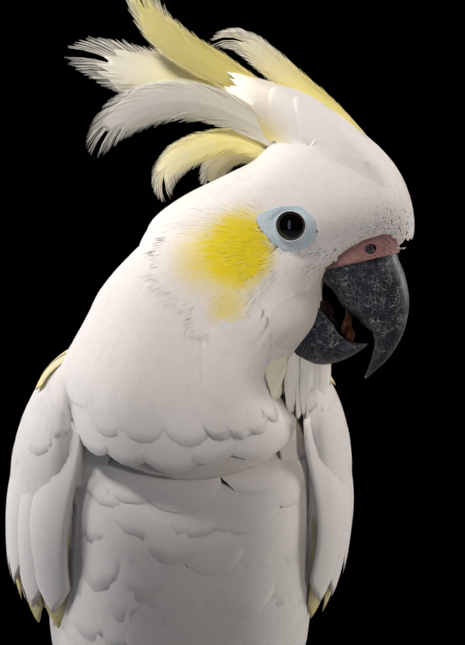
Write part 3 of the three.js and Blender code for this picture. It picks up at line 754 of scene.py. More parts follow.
def layTufts(roots, look, seed, yellow):
    # Root + lie * along + side * across, settled on the head's form, or bent down by the head's roundness
    # where it is nearly level; then lifted along the root's normal.
    shape = vaneShape(roots["length"], roots["width"], look, seed)
    normal = roots["normal"][:, None]
    side = np.cross(roots["normal"], roots["lie"])[:, None]
    flat = roots["point"][:, None] + roots["lie"][:, None] * shape["along"][..., None]
    flat = flat + side * shape["across"][..., None]
    drop = (shape["along"] ** 2 + shape["across"] ** 2) / (2 * look["roundness"])
    level = smoothStep(0.6, 0.85, np.abs(roots["normal"][:, 2]))[:, None, None]
    points = blend(settled(flat), flat - normal * drop[..., None], level)
    points = toBird(points + normal * shape["lift"][..., None])
    return finishVanes(points, shape, yellow(points), roots["place"])


# Markings, shared by skin and coat: each is a function of place in the head's axes

patch = {  # middle, size, and where it is full and gone, as shares of the size
    "wide": ((-22, -9), (21, 17.5), 0.1, 1.1),
    "core": ((-13.5, -5.5), (13, 17.5), 0.3, 1.1),
    "lobe": ((-18, -24), (9.5, 11.5), 0.2, 1.1),
}


def cheekYellow(points):
    # The ear patch: an oval that fades outwards, a strong core behind the eye and a pale lobe below.
    p = toHead(points)
    x = p[..., 0]
    z = p[..., 2]

    def oval(middle, size, low, high):
        return smoothStep(high, low, np.hypot((x - middle[0]) / size[0], (z - middle[1]) / size[1]))

    wide, core, lobe = [oval(*look) for look in patch.values()]
    beside = smoothStep(8, 13, np.abs(p[..., 1])) * smoothStep(1.5, -5, x)
    return np.clip(np.maximum(0.72 * wide + 0.7 * core, 0.55 * lobe), 0, 1) * beside


def ringReach(angle):
    # Outer edge of the bare ring round the eye: a circle with a corner towards the nape.
    away = (angle - math.radians(166) + math.pi) % tau - math.pi
    return 7.6 + 0.3 * np.cos(angle) - 0.85 * np.sin(angle) + 4.2 * np.exp(-(np.abs(away) / 0.5) ** 1.7)


print("forms ready")


# Materials

class Wire:
    # A node's socket that Python's operators work on: each operation adds a Math node.
    def __init__(self, sheet, socket):
        self.sheet = sheet
        self.socket = socket

    def maths(self, operation, *values):
        inputs = {i: value for i, value in enumerate(values)}
        return self.sheet.node("Math", {"operation": operation}, inputs)

    def __add__(self, other):
        return self.maths("ADD", self, other)

    def __radd__(self, other):
        return self.maths("ADD", other, self)

    def __sub__(self, other):
        return self.maths("SUBTRACT", self, other)

    def __rsub__(self, other):
        return self.maths("SUBTRACT", other, self)

    def __mul__(self, other):
        return self.maths("MULTIPLY", self, other)

    def __rmul__(self, other):
        return self.maths("MULTIPLY", other, self)

    def __truediv__(self, other):
        return self.maths("DIVIDE", self, other)

    def __pow__(self, other):
        return self.maths("POWER", self, other)

    def size(self):
        return self.maths("ABSOLUTE", self)

    def limited(self, low, high):
        inputs = {"Value": self, "From Min": low, "From Max": high}
        return self.sheet.node("MapRange", {"interpolation_type": "SMOOTHSTEP"}, inputs)


class Sheet:
    # One material: its Principled shader's constants are set by name, and node() adds any other node.
    def __init__(self, name, **constants):
        self.material = bpy.data.materials.new(name)
        self.material.use_nodes = True
        self.tree = self.material.node_tree
        self.shader = self.tree.nodes["Principled BSDF"]
        for key, value in constants.items():
            self.shader.inputs[key.replace("_", " ")].default_value = value

    def node(self, kind, settings=None, inputs=None, output=0):
        made = self.tree.nodes.new("ShaderNode" + kind)
        for key, value in (settings or {}).items():
            if key == "stops":
                self.setStops(made.color_ramp, value)
            else:
                setattr(made, key, value)
        for key, value in (inputs or {}).items():
            self.plug(made.inputs[key], value)
        return Wire(self, made.outputs[output])

    def plug(self, socket, value):
        if isinstance(value, Wire):
            self.tree.links.new(value.socket, socket)
        else:
            socket.default_value = value

    def setStops(self, ramp, stops):
        while len(ramp.elements) < len(stops):
            ramp.elements.new(0.5)
        for element, (place, colour) in zip(ramp.elements, stops):
            element.position = place
            element.color = (*colour, 1)

    def mixed(self, share, first, second):
        colours = [value if isinstance(value, Wire) else (*value, 1) for value in (first, second)]
        return self.node("Mix", {"data_type": "RGBA"}, {0: share, 6: colours[0], 7: colours[1]}, output=2)

    def place(self, scale):
        # Object coordinates in units of the given length in metres.
        where = self.node("TexCoord", output=3)
        return self.node("VectorMath", {"operation": "SCALE"}, {0: where, "Scale": 1 / scale})

    def noise(self, vector, detail=3.0, rough=0.5):
        inputs = {"Vector": vector, "Scale": 1.0, "Detail": detail, "Roughness": rough}
        return self.node("TexNoise", None, inputs)

    def mark(self, channel=0):
        colour = self.node("Attribute", {"attribute_name": "marks"})
        return self.node("SeparateColor", None, {"Color": colour}, output=channel)

    def vane(self):
        # The feather's own map: millimetres along its shaft and across it.
        where = self.node("UVMap", {"uv_map": "vane"})
        return [self.node("SeparateXYZ", None, {"Vector": where}, output=i) for i in range(2)]

    def finish(self, colour=None, roughness=None, bump=None, strength=0.5, distance=0.0002):
        if colour is not None:
            self.plug(self.shader.inputs["Base Color"], colour)
        if roughness is not None:
            self.plug(self.shader.inputs["Roughness"], roughness)
        if bump is not None:
            inputs = {"Height": bump, "Strength": strength, "Distance": distance}
            self.plug(self.shader.inputs["Normal"], self.node("Bump", None, inputs))
        return self.material


plumage = ((0.86, 0.80, 0.755), (0.78, 0.725, 0.685), (0.87, 0.68, 0.02))  # white, its shade and the yellow


def featherFinish(name, colours, lines=0.12, rough=0.72, sheen=0.25):
    # Base and shade mixed by each feather's own tone and by barb lines that run out from its shaft, then the
    # third colour by the marks.
    sheet = Sheet(
        name, Roughness=rough, Sheen_Weight=sheen, Sheen_Roughness=0.5, Specular_IOR_Level=0.28,
        Subsurface_Weight=0.12, Subsurface_Radius=(1.0, 0.75, 0.6), Subsurface_Scale=0.0025,
    )
    amount = sheet.mark()
    tone = sheet.mark(1)
    length, across = sheet.vane()
    barb = length - across.size() * 1.15
    fine = sheet.node("CombineXYZ", None, {"X": barb * 3.4, "Y": across * 0.25, "Z": tone * 7})
    broad = sheet.node("CombineXYZ", None, {"X": barb * 0.55, "Y": across * 0.2, "Z": tone * 5})
    streaks = sheet.noise(fine, 2.0, 0.6)
    wide = sheet.noise(broad, 1.0)
    fleck = (streaks - 0.5) * lines + (wide - 0.5) * lines * 0.7
    shadeAmount = (tone * 0.45 + fleck * 2.2 + 0.12).limited(0.0, 1.0)
    body = sheet.mixed(shadeAmount, colours[0], colours[1])
    tinted = (amount + fleck * amount * 1.6).limited(0.02, 0.95)
    colour = sheet.mixed(tinted, body, colours[2])
    return sheet.finish(colour, None, streaks + wide * 1.2, 0.35, 0.00012)


flight = ((0.80, 0.755, 0.70), (0.70, 0.655, 0.60), (0.62, 0.50, 0.12))
crest = ((0.84, 0.80, 0.73), (0.74, 0.70, 0.62), (0.80, 0.68, 0.17))
whiteFinish = featherFinish("white plumage", plumage)
faceFinish = featherFinish("face plumage", plumage, 0.07, 0.8, 0.3)
flightFinish = featherFinish("flight feathers", flight, 0.2, 0.6, 0.1)
crestFinish = featherFinish("crest feathers", crest, 0.24, 0.65, 0.3)


def skinFinish():
    # Matte skin in the plumage's tones, mottled, with the same yellow marks.
    sheet = Sheet("skin", Roughness=0.85)
    amount = sheet.mark()
    mottle = sheet.noise(sheet.place(0.004), 4.0)
    body = sheet.mixed(mottle, (0.74, 0.68, 0.63), (0.62, 0.565, 0.52))
    colour = sheet.mixed(amount, body, plumage[2])
    return sheet.finish(colour, None, sheet.noise(sheet.place(0.0012), 3.0), 0.4, 0.0003)


def hornFinish(name, dark, pale, cracks=1.0, gloss=0.42):
    # Dark horn under pale scratches: the edges of warped cells in three sizes and three stretched ones, each
    # thinned by noise.
    sheet = Sheet(name, Specular_IOR_Level=0.45)
    # The mark makes the horn pale: at the rims and the tip, and on the upper bill as a painted highlight
    # along the ridge.
    edge = sheet.mark()
    where = sheet.place(0.001)
    warp = sheet.node("TexNoise", None, {"Vector": where, "Scale": 0.3, "Detail": 3.0}, output=1)
    bend = sheet.node("VectorMath", {"operation": "MULTIPLY_ADD"}, {0: warp, 1: (3.4, 3.4, 3.4), 2: where})

    def web(vector, scale, width):
        settings = {"feature": "DISTANCE_TO_EDGE"}
        cell = sheet.node("TexVoronoi", settings, {"Vector": vector, "Scale": scale, "Randomness": 1.0})
        return 1 - cell.limited(0.0, width)

    def scratch(stretch, scale, width, size):
        drawn = sheet.node("VectorMath", {"operation": "MULTIPLY"}, {0: bend, 1: stretch})
        return web(drawn, scale, width) * sheet.noise(sheet.place(size), 3.0).limited(0.36, 0.7)

    patchy = sheet.noise(sheet.place(0.006), 3.0).limited(0.38, 0.66)
    fine = web(bend, 0.55, 0.05) * sheet.noise(sheet.place(0.0035), 3.0).limited(0.42, 0.68)
    broad = web(bend, 0.17, 0.022) * patchy
    hair = web(bend, 1.1, 0.06) * sheet.noise(sheet.place(0.0025), 2.0).limited(0.5, 0.7)
    level = scratch((0.22, 1.0, 1.0), 0.75, 0.045, 0.004)
    steep = scratch((1.0, 1.0, 0.2), 0.7, 0.045, 0.005)
    slant = scratch((0.45, 0.6, 0.45), 1.5, 0.06, 0.003)
    lines = (broad * 0.35 + fine * 0.3 + hair * 0.25 + level * 0.55 + steep * 0.55 + slant * 0.3) * cracks
    cloud = sheet.noise(sheet.place(0.0045), 4.0, 0.6)
    body = sheet.mixed(cloud.limited(0.3, 0.75), dark, np.array(dark) * 1.9)
    colour = sheet.mixed((lines + edge * 0.5).limited(0.0, 1.15), body, pale)
    roughness = gloss + cloud * 0.18 + lines * 0.2
    bump = lines * 0.8 + sheet.noise(sheet.place(0.0009), 3.0) * 0.5
    return sheet.finish(colour, roughness, bump, 0.5, 0.00015)


def fleshFinish(name, first, second, size, bumpSize, strength, rough, mark=None):
    # Bare skin: two tones in patches, fine wrinkles and grains in the bump, and a mark colour by attribute.
    sheet = Sheet(name, Specular_IOR_Level=0.4, Subsurface_Weight=0.15, Subsurface_Scale=0.0015)
    amount = sheet.mark()
    patches = sheet.noise(sheet.place(size), 4.0, 0.6)
    body = sheet.mixed(patches.limited(0.3, 0.7), first, second)
    if mark:
        body = sheet.mixed(amount, body, mark)
    cell = sheet.node("TexVoronoi", {"feature": "F1"}, {"Vector": sheet.place(bumpSize), "Scale": 1.0})
    wrinkles = sheet.noise(sheet.place(bumpSize * 0.8), 4.0, 0.65)
    # Painted shade: darker towards each grain's edge, in the grooves where the bump sinks.
    shaded = sheet.mixed(cell.limited(0.2, 0.9) * 0.25, body, np.array(first) * 0.45)
    return sheet.finish(shaded, rough + patches * 0.15, wrinkles - cell * 0.7, strength, 0.00025)


billFinish = hornFinish("bill horn", (0.011, 0.012, 0.016), (0.33, 0.325, 0.32), 1.25, 0.36)
clawFinish = hornFinish("claw horn", (0.018, 0.018, 0.020), (0.16, 0.15, 0.14), 0.35, 0.3)
fleshes = {  # first tone, second tone, patch size, grain size, bump strength, roughness, mark colour
    "mouth lining": ((0.010, 0.006, 0.005), (0.10, 0.036, 0.013), 0.0025, 0.0008, 0.9, 0.5),
    "mouth back": ((0.006, 0.004, 0.004), (0.02, 0.009, 0.006), 0.004, 0.0012, 0.8, 0.6),
    # The cere's near-black mark colour is painted shade in the nostrils.
    "cere skin": ((0.32, 0.165, 0.15), (0.21, 0.11, 0.105), 0.003, 0.00055, 0.8, 0.55, (0.012, 0.008, 0.008)),
    # The eye ring's mark colour is painted shade in its folds.
    "bare eye ring": ((0.71, 0.80, 0.83), (0.62, 0.72, 0.77), 0.003, 0.0004, 0.6, 0.5, (0.36, 0.46, 0.53)),
    "foot skin": ((0.10, 0.10, 0.11), (0.16, 0.155, 0.16), 0.005, 0.0016, 0.9, 0.6, (0.30, 0.29, 0.28)),
}
fleshFinishes = {name: fleshFinish(name, *look) for name, look in fleshes.items()}


def eyeFinish():
    # Black pupil, thin brown iris and a dark rim, by the mark that grows from the pupil out.
    sheet = Sheet("eye", Roughness=0.08, Coat_Weight=0.3, Coat_Roughness=0.02, Specular_IOR_Level=0.4)
    away = sheet.mark()
    fibres = sheet.noise(sheet.place(0.0007), 3.0)
    stops = [
        (0.0, (0.0015, 0.0015, 0.002)), (0.42, (0.0015, 0.0015, 0.002)), (0.475, (0.028, 0.011, 0.005)),
        (0.53, (0.055, 0.021, 0.008)), (0.58, (0.006, 0.004, 0.004)), (1.0, (0.004, 0.003, 0.003)),
    ]
    colour = sheet.node("ValToRGB", {"stops": stops}, {"Fac": away + (fibres - 0.5) * 0.05})
    return sheet.finish(colour)


eyeGlass = eyeFinish()
print("materials ready")


# Skin: one closed surface inside the flesh solids, joined by a voxel remesh

skinLook = {
    "voxel": 0.0017, "smooth": 16,
    "head": -0.9, "cap": -1.2, "neck": -3.2, "trunk": -3.6, "arm": -2.4, "thigh": -2.6,
    "flesh": [
        "head", "neck", "trunk", "wing_left", "wing_right", "thigh_left", "thigh_right", "crest_7", "crest_8",
    ],
}


def makeSkin(look):
    # Every form, drawn in by the coat's depth, is joined into one mesh, remade from voxels and smoothed.
    parts = [
        formPart(headForm, 90, 80, look["head"], toWorld=toBird),
        formPart(capForm, 60, 48, look["cap"], low=0.04, high=0.96, toWorld=toBird),
        formPart(neckForm, 70, 90, look["neck"]),
        formPart(trunkForm, 90, 90, look["trunk"], low=0.05),
    ]
    parts += [formPart(armForm(side), 70, 60, look["arm"], low=0.02, high=0.985) for side in sides.values()]
    parts += [formPart(thighForm(side), 50, 40, look["thigh"]) for side in sides.values()]
    remade("skin", parts, skinFinish(), look, skinMarks, look["flesh"])


def skinMarks(points):
    return xyz(cheekYellow(points * 1000 - shift), 0.5, 0.0)


makeSkin(skinLook)


# Bill

upperBillRows = numbered([  # ridge x, ridge z, edge x, edge z, half width, in the head's middle plane
    [32.6, -1, 6, -9, 9.4],
    [32.6, -8.8, 8.2, -17.6, 10],
    [35.2, -16, 11.4, -21, 9.4],
    [36.5, -23.6, 15, -26.4, 8.4],
    [35.6, -31.4, 20.6, -30.6, 6.6],
    [33, -38, 25, -36, 4.8],
    [29.2, -43.4, 24.9, -40.6, 3.1],
    [24.8, -47.4, 23.4, -45.8, 1.4],
    [22.6, -49.4, 22.1, -49, 0.4],
])
lowerBillRows = numbered([
    [-8, -21, -15, -37, 10],
    [5.6, -23.4, -3, -42.4, 10.4],
    [11.6, -28.8, 3.4, -44.4, 9.8],
    [14.4, -33.4, 9.6, -44.9, 8.6],
    [16.4, -36.4, 15.6, -43.2, 6.9],
    [19.4, -37.5, 20.2, -40.6, 5],
    [22.8, -37.9, 23, -38.5, 3],
])


def billForm(rows):
    # A section runs from the ridge, at turn 0, to the edge, at turn 0.5, and is widest near its edge.
    def form(v, turn, depth=0.0, share=None):
        ridgeX, ridgeZ, edgeX, edgeZ, half = sampled(rows, v)
        c, s = circle(turn)
        length = np.hypot(edgeX - ridgeX, edgeZ - ridgeZ)
        down = (1 - c) / 2 - c * depth / np.maximum(length, 0.5) if share is None else share
        side = (half + depth) * bent(s, 2.3) * (0.86 + 0.14 * down)
        return xyz(ridgeX + (edgeX - ridgeX) * down, side, ridgeZ + (edgeZ - ridgeZ) * down)
    return form


upperForm = billForm(upperBillRows)


def hollowBeak(look):
    # Each section is a horseshoe: the outer wall from one rim to the other, then back along the hollow,
    # which is the same curve drawn in and shallower. Notches push the rim up or down.
    form = billForm(look["rows"])
    gap = look["gap"]
    v = np.linspace(look["from"], 1, look["rings"])[:, None]
    v = blend(v, np.sin(v * np.pi / 2), 0.25)
    sweep = np.linspace(-0.5 + gap, 0.5 - gap, look["sides"])[None]
    turn = sweep + look["ridge"]
    outer = form(v, turn)
    notch = look["notch"](v) * np.exp(-((np.abs(sweep) - 0.5) / 0.14) ** 2)
    outer = outer + notch[..., None] * np.array([0, 0, 1.0])
    deepest = 1 - 2 * look["ridge"]
    arch = np.maximum(np.sin((sweep + 0.5 - gap) / (1 - 2 * gap) * np.pi), 0)
    inner = form(v, turn, 0.0, deepest + (0.5 - deepest) * arch ** 0.7)
    inner[..., 1] = outer[..., 1] * 0.8
    inner = inner + (outer - inner) * (1 - np.minimum(arch * 3, 1))[..., None] * 0.85
    return np.concatenate([outer, inner[:, ::-1]], 1)


beaks = {  # ridge is the turn of the wall's middle
    "upper": {
        "rows": upperBillRows, "rings": 120, "sides": 60, "from": 0.0, "gap": 0.075,
        "ridge": 0.0, "paintedRidgeHighlight": 0.7,
        "notch": lambda v: 1.7 * np.exp(-((v - 0.6) / 0.045) ** 2) - 0.5 * np.exp(-((v - 0.52) / 0.04) ** 2),
    },
    "lower": {
        "rows": lowerBillRows, "rings": 90, "sides": 60, "from": 0.05, "gap": 0.085,
        "ridge": 0.5, "paintedRidgeHighlight": 0.0,
        "notch": lambda v: 0.5 * np.exp(-((v - 0.62) / 0.07) ** 2) - 0.6 * np.exp(-((v - 0.5) / 0.05) ** 2),
    },
}


def plainMarks(part):
    part["marks"] = xyz(0.0, 0.5, part["along"])
    return part


for name, look in beaks.items():
    part = tubePart(toBird(hollowBeak(look)))
    around = part["around"]
    # The ridge stripe is a painted highlight along the upper bill's ridge; the rims and the tip are paler
    # horn.
    paintedRidgeHighlight = np.exp(-((around - 0.25) / 0.02) ** 2) * look["paintedRidgeHighlight"]
    rims = np.exp(-((around - 0.5) / 0.012) ** 2) + np.exp(-(np.minimum(around, 1 - around) / 0.012) ** 2)
    tip = smoothStep(0.8, 1.0, part["along"]) * 0.3
    part["marks"] = xyz(np.clip(paintedRidgeHighlight + rims * 0.35 + tip, 0, 1), 0.5, part["along"])
    makePiece("bill_" + name + "_horn", part, billFinish, ["bill_" + name])


tongueRows = numbered([  # x, z, radius
    [-2, -28.6, 1.5],
    [0, -28.6, 3.2],
    [7, -27.4, 3.2],
    [10, -27.2, 2.9],
    [11.6, -27.4, 1.6],
])


def tongueGrid():
    # A tube round a line in the middle plane, a tenth wider than high.
    v, turn = ringed(40, 36)
    x, z, radius = sampled(tongueRows, v)
    c, s = circle(turn)
    return xyz(x, c * radius * 1.1, z + s * radius)


def gapeGrid(seed):
    # Rough flesh at the corner of the mouth: a tube between the bills whose radius is lumpy.
    dice = np.random.default_rng(seed)
    v, turn = ringed(60, 48)
    c, s = circle(turn)
    lumps = 0
    for wave in range(9):
        size = dice.uniform(0.1, 0.5)
        phase = v * dice.uniform(10, 40) + turn * tau * dice.integers(1, 6)
        lumps = lumps + size * np.sin(phase + dice.uniform(0, 6))
    radius = np.sin(v * np.pi) ** 0.5 * (3.0 + 0.2 * lumps + dice.normal(0, 0.12, v.shape))
    x = blend(16.2, 17.2, v) + 0.6 * np.sin(v * 9)
    return xyz(x + c * radius * 0.55, s * radius * 1.35, blend(-26.5, -38.0, v) + c * radius * 0.3)


def liningGrid():
    # The dark back of the mouth: an ellipsoid whose axis leans along the bird's middle plane.
    v, turn = ringed(50, 48, 0.02, 0.98)
    v = v * np.pi
    c, s = circle(turn)
    return xyz(-2 + 9 * np.cos(v), 8.6 * np.sin(v) * c, -30 + 8.5 * np.sin(v) * s + 1.5 * np.cos(v))


mouth = {
    "tongue_skin": (tongueGrid(), "mouth back", ["tongue"]),
    "gape_flesh": (gapeGrid(3), "mouth lining", ()),
    "mouth_lining": (liningGrid(), "mouth back", ()),
}
for name, (grid, finish, replaces) in mouth.items():
    makePiece(name, plainMarks(tubePart(toBird(grid))), fleshFinishes[finish], replaces)
print("bill ready")


# Cere: the swollen skin above a slanting line on the bill, with a nostril on each side

cereLook = {
    "x": 13, "z": -13, "rise": 0.235, "grow": 0.9,
    "nostril": (25.2, -6.9), "radius": 1.6, "sink": 3.2,
}


def makeCere():
    # The bill's form runs from inside the brow to the slanting line, where the skin rolls under; wrinkles are
    # low ridges, and each nostril is a sunk cup with a raised rim.
    turn = np.arange(150) / 150
    fine = np.linspace(0, 0.42, 500)[:, None]
    trial = upperForm(fine, turn[None], cereLook["grow"])
    above = trial[..., 2] - (cereLook["z"] + (trial[..., 0] - cereLook["x"]) * cereLook["rise"])
    cut = fine[np.argmax(above < 0, axis=0), 0]
    cut = np.where((above < 0).any(0), cut, 0.42)
    s = np.linspace(0, 1, 90)[:, None]
    v = np.minimum(s / 0.93, 1) * cut[None]
    roll = np.clip((s - 0.86) / 0.14, 0, 1)
    depth = cereLook["grow"] * np.sqrt(np.clip(1 - roll ** 2, 0, 1)) - 1.0 * np.clip((s - 0.93) / 0.07, 0, 1)
    depth = np.broadcast_to(depth, (90, 150))
    grid = upperForm(v, np.broadcast_to(turn, v.shape), depth)
    x, y, z = np.moveaxis(grid, -1, 0)
    away = np.hypot(x - cereLook["nostril"][0], z - cereLook["nostril"][1])
    cup = smoothStep(cereLook["radius"] * 1.15, cereLook["radius"] * 0.75, away)
    rim = np.exp(-((away - 1.9) / 0.5) ** 2)
    wrinkle = np.sin(away * 5.2 + 1.3 * np.sin(x * 0.9) + 0.8 * np.sin(z * 1.7)) * smoothStep(1.9, 3.0, away)
    push = 0.35 * rim - cereLook["sink"] * cup + 0.17 * wrinkle + 0.08 * np.sin(x * 3.1 + z * 4.3)
    grid[..., 1] = y + np.sign(y) * push * smoothStep(1.0, 4.0, np.abs(y))
    part = tubePart(toBird(grid))
    side = smoothStep(2.0, 5.0, np.abs(y))
    # Painted shade: the nostril cups take the cere's near-black mark colour.
    marks = np.append((cup * side).ravel(), [0, 0])
    part["marks"] = xyz(np.clip(marks * 1.2, 0, 1), 0.5, part["along"])
    makePiece("cere_skin", part, fleshFinishes["cere skin"], ["cere"])


makeCere()


# Eyes and the bare rings round them

def makeEye(name, side):
    # A ball turned round its outward axis, with a cornea that swells; the mark is the angle from the axis.
    tilt, turn = ringed(70, 96, 0.02, np.pi - 0.02)
    radius = head["eyeRadius"] + 0.25 * smoothStep(0.75, 0.2, tilt)
    ball = xyz(
        head["eyeAt"][0] + radius * np.sin(tilt) * np.cos(turn * tau),
        side * (head["eyeOut"] + radius * np.cos(tilt)),
        head["eyeAt"][1] + radius * np.sin(tilt) * np.sin(turn * tau),
    )
    part = tubePart(toBird(ball))
    part["marks"] = xyz(np.append((tilt / 1.35).ravel(), [0, 1.5]), 0.5, 0.0)
    makePiece(name + "_ball", part, eyeGlass, [name])


def makeRing(name, side):
    # From under the ball's edge the skin rolls up over a lid, crosses to the outer edge in low folds and
    # tucks under the feathers. Two layers closed at both ends make a thin solid.
    angle = (np.arange(220) / 220 - 0.5) * tau
    q = np.linspace(0, 1, 70)[:, None]
    inner = 4.6 + 0.06 * np.sin(3 * angle + 1)
    outer = ringReach(angle) + 0.12 * np.sin(7 * angle) + 0.08 * np.sin(13 * angle + 2)
    reach = blend(inner[None], outer[None], q)
    x = head["eyeAt"][0] + reach * np.cos(angle)
    z = head["eyeAt"][1] + reach * np.sin(angle)
    ball = head["eyeOut"] + np.sqrt(np.maximum(head["eyeRadius"] ** 2 - inner ** 2, 1))
    level = blend(ball[None] + 0.1, headSide(x, z) + 0.15, smoothStep(0.0, 0.55, q))
    overBall = head["eyeOut"] + np.sqrt(np.maximum(7.3 ** 2 - reach ** 2, 0)) + 0.1
    level = np.where(reach < 7.0, np.maximum(level, overBall), level)
    lid = 0.55 * np.exp(-((q - 0.085) / 0.07) ** 2)
    fold = np.sin(q * tau * 8.5 + 0.5 * np.sin(angle * 2 + 1) + 0.35 * np.sin(angle * 5))
    fine = np.sin(q * tau * 17 + 0.8 * np.sin(angle * 3)) * 0.35
    folds = (0.07 * fold + 0.07 * fine) * smoothStep(0.08, 0.2, q) * smoothStep(1.0, 0.8, q)
    level = level + lid + folds
    level = level - 1.6 * smoothStep(0.05, 0.0, q) - 1.5 * smoothStep(0.94, 1.0, q)
    top = xyz(x, side * level, z)
    under = xyz(x, side * (level - 0.9 - 0.8 * np.sin(q * np.pi)), z)
    grid = np.concatenate([top, under[::-1]], 0)
    index = np.arange(grid[..., 0].size).reshape(grid.shape[:2])
    quads = ringQuads(np.concatenate([index, index[:1]]))
    part = {"points": toBird(grid).reshape(-1, 3), "quads": quads, "tris": np.zeros((0, 3), int)}
    # Painted shade: the fold troughs, and the crease where the skin tucks under the eyeball, take the ring's
    # darker mark colour.
    foldShade = np.clip(-fold, 0, 1) * smoothStep(0.1, 0.2, q) * 0.5 + 0.6 * smoothStep(0.05, 0.0, q)
    part["marks"] = xyz(np.concatenate([foldShade, foldShade[::-1]]).ravel(), 0.5, 0.0)
    makePiece(name + "_ring", part, fleshFinishes["bare eye ring"], [name])


for name, side in sides.items():
    makeEye("eye_" + name, side)
    makeRing("eyelid_" + name, side)
print("eyes ready")


# Head coat: tiny flat tufts that lie away from the bill, and longer thin ones over the ear patch

faceLook = {
    "count": 9500, "ends": (0.01, 0.93),
    "rings": 3, "columns": 2, "round": 0.62, "blunt": 1.6, "root": 0.55, "full": 0.4, "fray": 0.05,
    "deep": -0.6, "high": 0.02, "rise": 0.1, "cup": 0.02, "tuck": 0.03, "thick": 0.08, "roundness": 26,
    "uneven": 0.02,
    "soft": 0.85,
}
earLook = {
    "count": 6500, "ends": (0.2, 0.9), "length": 8.0, "width": 1.1,
    "rings": 5, "columns": 2, "round": 0.8, "blunt": 1.2, "root": 0.6, "full": 0.3, "fray": 0.1,
    "deep": -0.8, "high": 0.12, "rise": 0.12, "cup": 0.04, "thick": 0.08, "roundness": 26, "uneven": 0.06,
    "soft": 0.95,
}


def headLie(points, normal):
    # Away from the bill's root over the face, turning down and back behind it, laid into the surface.
    source = np.array([27, 0, -8.0])
    away = unit(points - source)
    back = np.array([-0.4, 0, -0.92])
    share = smoothStep(26, 58, np.linalg.norm(points - source, axis=-1))[:, None]
    crown = (smoothStep(8, 24, points[:, 2]) * smoothStep(-30, -8, points[:, 0]))[:, None]
    return unit(across(blend(away, back, share * (1 - 0.9 * crown)), normal))


def insideBill(points, margin):
    # The nearest section line is found in the middle plane; the point is inside if its side is narrower.
    inside = np.zeros(len(points), bool)
    for rows in (upperBillRows, lowerBillRows):
        place = np.linspace(0, len(rows) - 1, 60)
        ridgeX, ridgeZ, edgeX, edgeZ, half = sample(rows, place)
        downX = edgeX - ridgeX
        downZ = edgeZ - ridgeZ
        length = np.hypot(downX, downZ)
        offX = points[:, None, 0] - ridgeX
        offZ = points[:, None, 2] - ridgeZ
        share = (offX * downX + offZ * downZ) / length ** 2
        apart = np.abs(offX * downZ - offZ * downX) / length
        apart = apart + np.where((share < -margin / length) | (share > 1 + margin / length), 99, 0)
        best = apart.argmin(1)
        c = np.clip(1 - 2 * np.take_along_axis(share, best[:, None], 1)[:, 0], -1, 1)
        wide = half[best] * np.sqrt(1 - c ** 2) ** (2 / 2.3) + margin
        inside |= (apart.min(1) < 1.6) & (np.abs(points[:, 1]) < wide)
    return inside


def headRoots(look, turns, seed, length, width):
    # Even places between the look's ends, kept off the bill, the bare ring and the neck's inside.
    dice = np.random.default_rng(seed)
    count = look["count"]
    v, turn = spread(headForm, count, (look["ends"][0], turns[0]), (look["ends"][1], turns[1]))
    point = headForm(v, turn)
    normal = normals(headForm, v, turn)
    lie = headLie(point, normal)
    stray = np.radians(dice.normal(0, 5, count))[:, None]
    lie = lie * np.cos(stray) + np.cross(normal, lie) * np.sin(stray)
    roots = {"v": v, "turn": turn, "point": point, "normal": normal, "lie": lie}
    roots["length"] = length(point) * dice.uniform(0.85, 1.15, count)
    roots["width"] = width(point) * dice.uniform(0.85, 1.15, count)
    roots["place"] = np.stack([turn % 1.0, v], -1)
    tip = point + lie * roots["length"][:, None] * 0.85
    keep = ~insideBill(point, 0.9)
    for spot in (point, tip):
        away = np.hypot(spot[:, 0] - head["eyeAt"][0], spot[:, 2] - head["eyeAt"][1])
        angle = np.arctan2(spot[:, 2] - head["eyeAt"][1], spot[:, 0] - head["eyeAt"][0])
        keep &= (away > ringReach(angle) - 0.35) | (np.abs(spot[:, 1]) < 12)
    beak = (point[:, 2] < -4) & (point[:, 2] > -44) & (np.abs(point[:, 1]) < 9.5) & (normal[:, 0] > 0.35)
    world = toBird(point)
    keep &= ~beak & (insideSections(neckRows, world) > 0.93)
    return kept(roots, keep)


def faceLength(p):
    # Shortest round the bill and eyes, longer towards the crown and the nape.
    fromBill = np.linalg.norm(p - np.array([30, 0, -8.0]), axis=-1)
    fromEye = np.hypot(p[:, 0] - head["eyeAt"][0], p[:, 2] - head["eyeAt"][1])
    far = smoothStep(10, 62, fromBill) * smoothStep(5, 16, fromEye)
    return 1.5 + 3.4 * far + 1.3 * smoothStep(8, 26, fromBill)


def faceWidth(p):
    # A little over half the length.
    return 0.55 * faceLength(p) + 0.6


def across(vectors, normal):
    # What is left of the vectors when their share along the normal is taken out.
    return vectors - normal * (vectors * normal).sum(-1, keepdims=True)


def unevenYellow(dice, count):
    # The yellow marks, a little stronger or weaker on each feather.
    strength = dice.uniform(0.75, 1.25, (count, 1))
    return lambda points: np.clip(cheekYellow(points) * strength, 0, 1)


